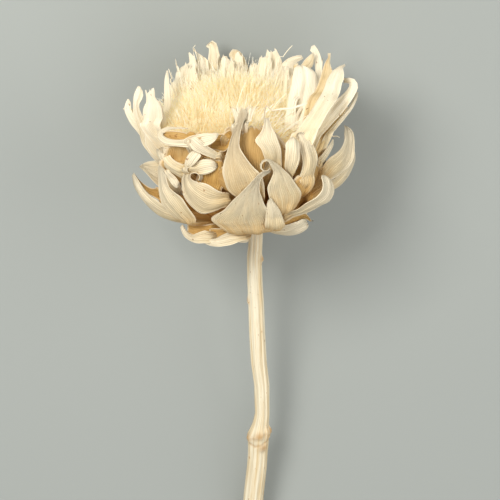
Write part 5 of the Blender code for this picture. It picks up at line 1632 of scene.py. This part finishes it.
@dataclass
class Stem:
    """The ribbed stalk, with its leaf node and scars, down to its plain cut end.

    centre and girth give the middle's place across and the radius at millimetres below the neck. Each scar
    is a place below the neck, an angle from the front, a height and a spread. The collar and the groove of
    the leaf node are wavy rings: a place, how far they wander, where that starts, and a spread. The skin's
    pattern is wrapped round a stalk of radius wrap.
    """

    length: float = 185.0
    wrap: float = 4.2
    seam: float = 0.4
    sides: int = 80
    steps: int = 320
    centre: list[tuple[float, float]] = field(default_factory=lambda: [
        (0, 0), (9.3, -0.3), (17, -0.9), (30.7, -0.6), (41.6, 0), (57.5, 0.5), (75, 1.4), (87.6, 2.9),
        (104, 3.2), (117.7, 1.3), (133.6, 0.5), (150, -1.2), (185, -3.5)])
    girth: list[tuple[float, float]] = field(default_factory=lambda: [
        (0, 3.4), (9, 3.3), (17, 3.6), (57, 3.9), (75, 3.9), (104, 3.5), (110, 3.9), (115, 5.3), (119, 5.1),
        (126, 4.8), (185, 4.9)])
    scars: list[tuple[float, float, float, float]] = field(default_factory=lambda: [
        (17.5, 80, 0.9, 1.6), (40.5, -85, 0.7, 1.8), (112.5, 75, 1.5, 1.8), (116.5, -70, 1.0, 2.2),
        (121, 30, 0.8, 2.0), (114.5, 0, 0.5, 1.8)])
    collar: tuple[float, float, float, float] = (115.5, 1.4, 0.6, 1.5)
    groove: tuple[float, float, float, float] = (119.0, 1.2, -1.0, 0.8)

    def track(self) -> bpy.types.Mesh:
        """The stalk's middle as a line of edges, with its radius kept at each point."""
        down = np.linspace(self.seam, self.length, self.steps)
        across = self._eased(self.centre, down)
        mesh = bpy.data.meshes.new("track")
        points = np.stack([across, 0 * down, -down], 1)[::-1]
        mesh.from_pydata(points.tolist(), [(k, k + 1) for k in range(self.steps - 1)], [])
        radius = self._eased(self.girth, down)[::-1].astype(np.float32)
        mesh.attributes.new("girth", "FLOAT", "POINT").data.foreach_set("value", radius)
        return mesh

    @staticmethod
    def _eased(table: list[tuple[float, float]], down: np.ndarray) -> np.ndarray:
        """A table's values down the stalk, with its corners rounded."""
        end, steps, span = 190, 10, 41
        fine = np.linspace(0, end, end * steps + 1)
        values = np.pad(np.interp(fine, *zip(*table)), span // 2, mode="edge")
        window = np.hanning(span) / np.hanning(span).sum()
        return np.interp(down, fine, np.convolve(values, window, mode="valid"))

    def growth(self, skin: bpy.types.Material) -> GrowthBoard:
        """The Geometry Nodes tree that turns the line into a ribbed stalk.

        Args:
            skin: the stalk's material.

        Returns:
            The tree.
        """
        tree = GrowthBoard("ribbed_stalk", {
            "Ribs": 10.0, "Rib Height": 0.22, "Fine Ribs": 31.0, "Fine Height": 0.07, "Wander": 0.9,
            "Sides": self.sides, "Material": skin})
        given = tree.given
        rail = tree.node("GeometryNodeMeshToCurve", {"Mesh": given()})
        ring = tree.node("GeometryNodeCurvePrimitiveCircle", {"Resolution": given("Sides"), "Radius": 1.0})
        part = tree.node("GeometryNodeSplineParameter")
        ring = tree.stored(ring, "turn", "FLOAT", "POINT", part)
        tube = tree.tube(rail, tree.kept("girth"), ring)
        turn = tree.kept("turn")
        place = tree.node("GeometryNodeInputPosition")
        slow = tree.stretched(place, (0.05, 0.05, 0.02))
        slow = tree.node("ShaderNodeTexNoise", {"Vector": slow, "Scale": 1.0})
        drift = (slow - 0.5) * given("Wander")
        ribs = ((turn * given("Ribs") + drift) * (2 * math.pi)).wave() * 2.0 - 1.0
        fine = ((turn * given("Fine Ribs") + drift * 2.5) * (2 * math.pi)).wave() * 2.0 - 1.0
        height = ribs * given("Rib Height") + fine * given("Fine Height") * slow * 2.0
        out = tree.node("GeometryNodeInputNormal")
        tree.close(tree.moved(tube, tree.vector("SCALE", out, height)))
        return tree

    @staticmethod
    def _ring(down: np.ndarray, angle: np.ndarray, place: float, wander: float, start: float,
              spread: float) -> np.ndarray:
        """How much each point takes part in a wavy ring round the stalk, from 0 to 1."""
        return np.exp(-((down - place - wander * np.sin(2 * angle + start)) / spread) ** 2)

    def scarred(self, points: np.ndarray) -> tuple[np.ndarray, np.ndarray]:
        """Raises the leaf scars and the rough collar of the leaf node.

        Args:
            points: the stalk's upright points.

        Returns:
            The points moved, and how worn the skin is at each.
        """
        down = -points[:, 2]
        across = self._eased(self.centre, down)
        away = np.stack([points[:, 0] - across, points[:, 1]], 1)
        angle = np.arctan2(away[:, 1], away[:, 0])
        rise, worn = np.zeros(len(points)), np.zeros(len(points))
        for place, azimuth, height, spread in self.scars:
            turn = np.angle(np.exp(1j * (angle - math.radians(azimuth - 90))))
            bump = np.exp(-((down - place) / spread) ** 2 - (turn / 0.45) ** 2)
            lip = np.exp(-((down - place - 0.7 * spread) / 0.5) ** 2 - (turn / 0.40) ** 2)
            rise += height * bump + 0.35 * lip
            worn = np.maximum(worn, bump)
        collar = self._ring(down, angle, *self.collar)
        jagged = 0.5 + 0.5 * np.sin(9 * angle + 0.8 * down) * np.sin(5 * angle - 1.3 * down + 1)
        rise += 0.45 * collar * jagged
        worn = np.maximum(worn, 0.8 * collar * (0.4 + 0.6 * jagged))
        low = self._ring(down, angle, *self.groove)
        rise -= 0.30 * low
        worn = np.maximum(worn, 0.7 * low)
        kept = np.minimum(1, (self.length - down) / 2).clip(0, 1)
        away = away * (1 + rise * kept / np.maximum(np.hypot(*away.T), 1))[:, None]
        return np.stack([away[:, 0] + across, away[:, 1], points[:, 2]], 1), np.clip(worn, 0, 1)

    def build(self, skin: bpy.types.Material, cut: bpy.types.Material) -> None:
        """Builds the stalk and the face of its cut end."""
        mesh = self.growth(skin).run(self.track())
        points, worn = self.scarred(mesh_points(mesh))
        across = self._eased(self.centre, -points[:, 2])
        angle = np.arctan2(points[:, 1], points[:, 0] - across)
        grain = np.stack([self.wrap * np.cos(angle), -points[:, 2], self.wrap * np.sin(angle)], 1)
        faces = [tuple(face.vertices) for face in mesh.polygons]
        stalk = FlowerMesh("stem_skin", self.flattened(points), faces, {"grain": grain, "worn": worn})
        stalk.piece("stem", "stem_skin", skin)
        self.cut_end().piece("stem", "stem_skin", cut)

    @staticmethod
    def flattened(points: np.ndarray) -> np.ndarray:
        """Lifts what would reach below the surface onto it."""
        low = np.minimum(POSE.height(points), 0)[:, None]
        return points - low * POSE.lift()

    def cut_end(self) -> FlowerMesh:
        """A thin face over the cut, slightly hollow in the pith."""
        inner, outer, proud, hollow, sunk = 0.02, 0.97, 0.12, 0.10, 0.3
        radius, middle = (float(self._eased(table, np.array([self.length]))[0])
                          for table in (self.girth, self.centre))
        rings = [(share, -self.length - proud + hollow * (1 - share**4))
                 for share in np.r_[inner, np.linspace(0.12, outer, 12)]]
        rings += [(outer, -self.length + sunk), (inner, -self.length + sunk)]
        face = turned("stem_cut", [(middle, radius * share, z) for share, z in rings], self.sides)
        face.points = self.flattened(face.points)
        face.notes["out"] = np.repeat([share for share, _ in rings], self.sides)
        return face


# The surface, the lights and the camera

@dataclass
class Studio:
    """A plain pale surface, soft lights, and a camera that looks down on the flower as the viewer did."""

    distance: float = 3.0
    scale: float = 0.5
    frame_pixels: int = 500
    neck_pixel: tuple[float, float] = (256.0, 226.0)
    sensor: float = 36.0
    farthest: float = 20.0
    floor_reach: float = 3.0
    aim: Point = (0, 0.06, 0.04)
    sky: tuple[float, float, float, float] = (1.0, 0.99, 0.97, 1)
    sky_strength: float = 0.46

    def floor(self) -> None:
        """The surface that the flower lies on."""
        mesh = bpy.data.meshes.new("floor")
        reach = self.floor_reach
        corners = [(x * reach, y * reach, 0) for x, y in ((-1, -1), (1, -1), (1, 1), (-1, 1))]
        mesh.from_pydata(corners, [], [(0, 1, 2, 3)])
        mesh.materials.append(FloorFinish().material())
        ground = linked("floor", mesh)

    def lamp(self, name: str, place: Point, size: float, power: float, colour: Colour) -> None:
        """A soft square lamp that points at the flower's head.

        Args:
            name: its name.
            place: where it stands, in metres.
            size: its side, in metres.
            power: its power, in watts.
            colour: its light.
        """
        light = bpy.data.lights.new(name, "AREA")
        light.size, light.energy, light.color = size, power, colour
        lamp = linked(name, light)
        lamp.location = place
        aim = Vector(self.aim) - lamp.location
        lamp.rotation_euler = aim.to_track_quat("-Z", "Y").to_euler()

    def lights(self) -> None:
        """The key light beyond the head, a fill over the stem, and an even sky."""
        self.lamp("key", (-0.40, 0.50, 0.85), 0.40, 8.8, (1.0, 0.97, 0.92))
        self.lamp("fill", (0.30, -0.60, 1.00), 0.9, 3.7, (1.0, 0.98, 0.95))
        self.lamp("right", (0.80, 0.25, 0.55), 0.7, 3.0, (1.0, 0.98, 0.95))
        world = bpy.data.worlds.new("studio")
        bpy.context.scene.world = world
        world.use_nodes = True
        sky = world.node_tree.nodes["Background"]
        sky.inputs["Color"].default_value = self.sky
        sky.inputs["Strength"].default_value = self.sky_strength

    def camera(self) -> None:
        """The camera, at the viewer's angle to the flower, as far to the side as the flower was seen."""
        out = POSE.turn(np.array([0, -math.cos(VIEW), math.sin(VIEW)]))
        up = POSE.turn(np.array([0, math.sin(VIEW), math.cos(VIEW)]))
        right = POSE.turn(np.array([1.0, 0, 0]))
        middle = self.frame_pixels / 2
        aside, below = (self.neck_pixel[0] - middle) * self.scale, (middle - self.neck_pixel[1]) * self.scale
        target = POSE.place(np.zeros(3)) - (right * aside + up * below) * MM
        data = bpy.data.cameras.new("camera")
        data.sensor_width = self.sensor
        data.lens = self.sensor * self.distance / (self.frame_pixels * self.scale * MM)
        data.clip_end = self.farthest
        camera = linked("camera", data)
        camera.location = Vector(target + out * self.distance)
        camera.rotation_euler = Matrix((right, up, out)).transposed().to_euler()
        bpy.context.scene.camera = camera

    def build(self) -> None:
        """Sets up the surface, the lights and the camera."""
        self.floor()
        self.lights()
        self.camera()
        bpy.context.scene.view_settings.view_transform = "Standard"


def main() -> None:
    """Builds the flower and the studio."""
    logging.basicConfig(level=logging.INFO, format="%(name)s: %(message)s")
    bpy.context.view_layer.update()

    ivory, beige, tan = paint(246, 236, 208), paint(222, 205, 165), paint(204, 164, 94)
    leaf = LeafFinish("bract_skin", ivory, beige, paint(198, 187, 156), tan, paint(174, 126, 60))
    papery = LeafFinish("crown_skin", paint(253, 246, 223), paint(240, 225, 184), paint(222, 208, 172),
                        paint(234, 212, 160), paint(192, 146, 78), vein_gap=0.75, vein_depth=0.16,
                        root_end=0.5)
    hair = HairFinish("choke_hair", paint(252, 242, 208), paint(235, 206, 132), paint(255, 252, 238))
    felt = FluffFinish("choke_felt", paint(246, 222, 160), paint(222, 176, 104))
    base = FluffFinish("base_flesh", paint(208, 162, 90), paint(160, 108, 46), grit=0.6)
    skin = StalkFinish("stalk_skin", paint(236, 228, 203), paint(211, 187, 142), paint(170, 124, 66))
    cut = PithFinish("stalk_cut", paint(232, 212, 168), paint(246, 238, 214), paint(206, 184, 140))
    leaf, papery, hair, felt, base, skin, cut = (
        finish.material() for finish in (leaf, papery, hair, felt, base, skin, cut))

    Receptacle().build(base)
    FrontBracts().build(leaf)
    CrownStraps().build(papery)
    BackBracts().build(leaf, papery)
    Choke().build(hair, felt)
    Stem().build(skin, cut)
    Studio().build()


if __name__ == "__main__":
    main()
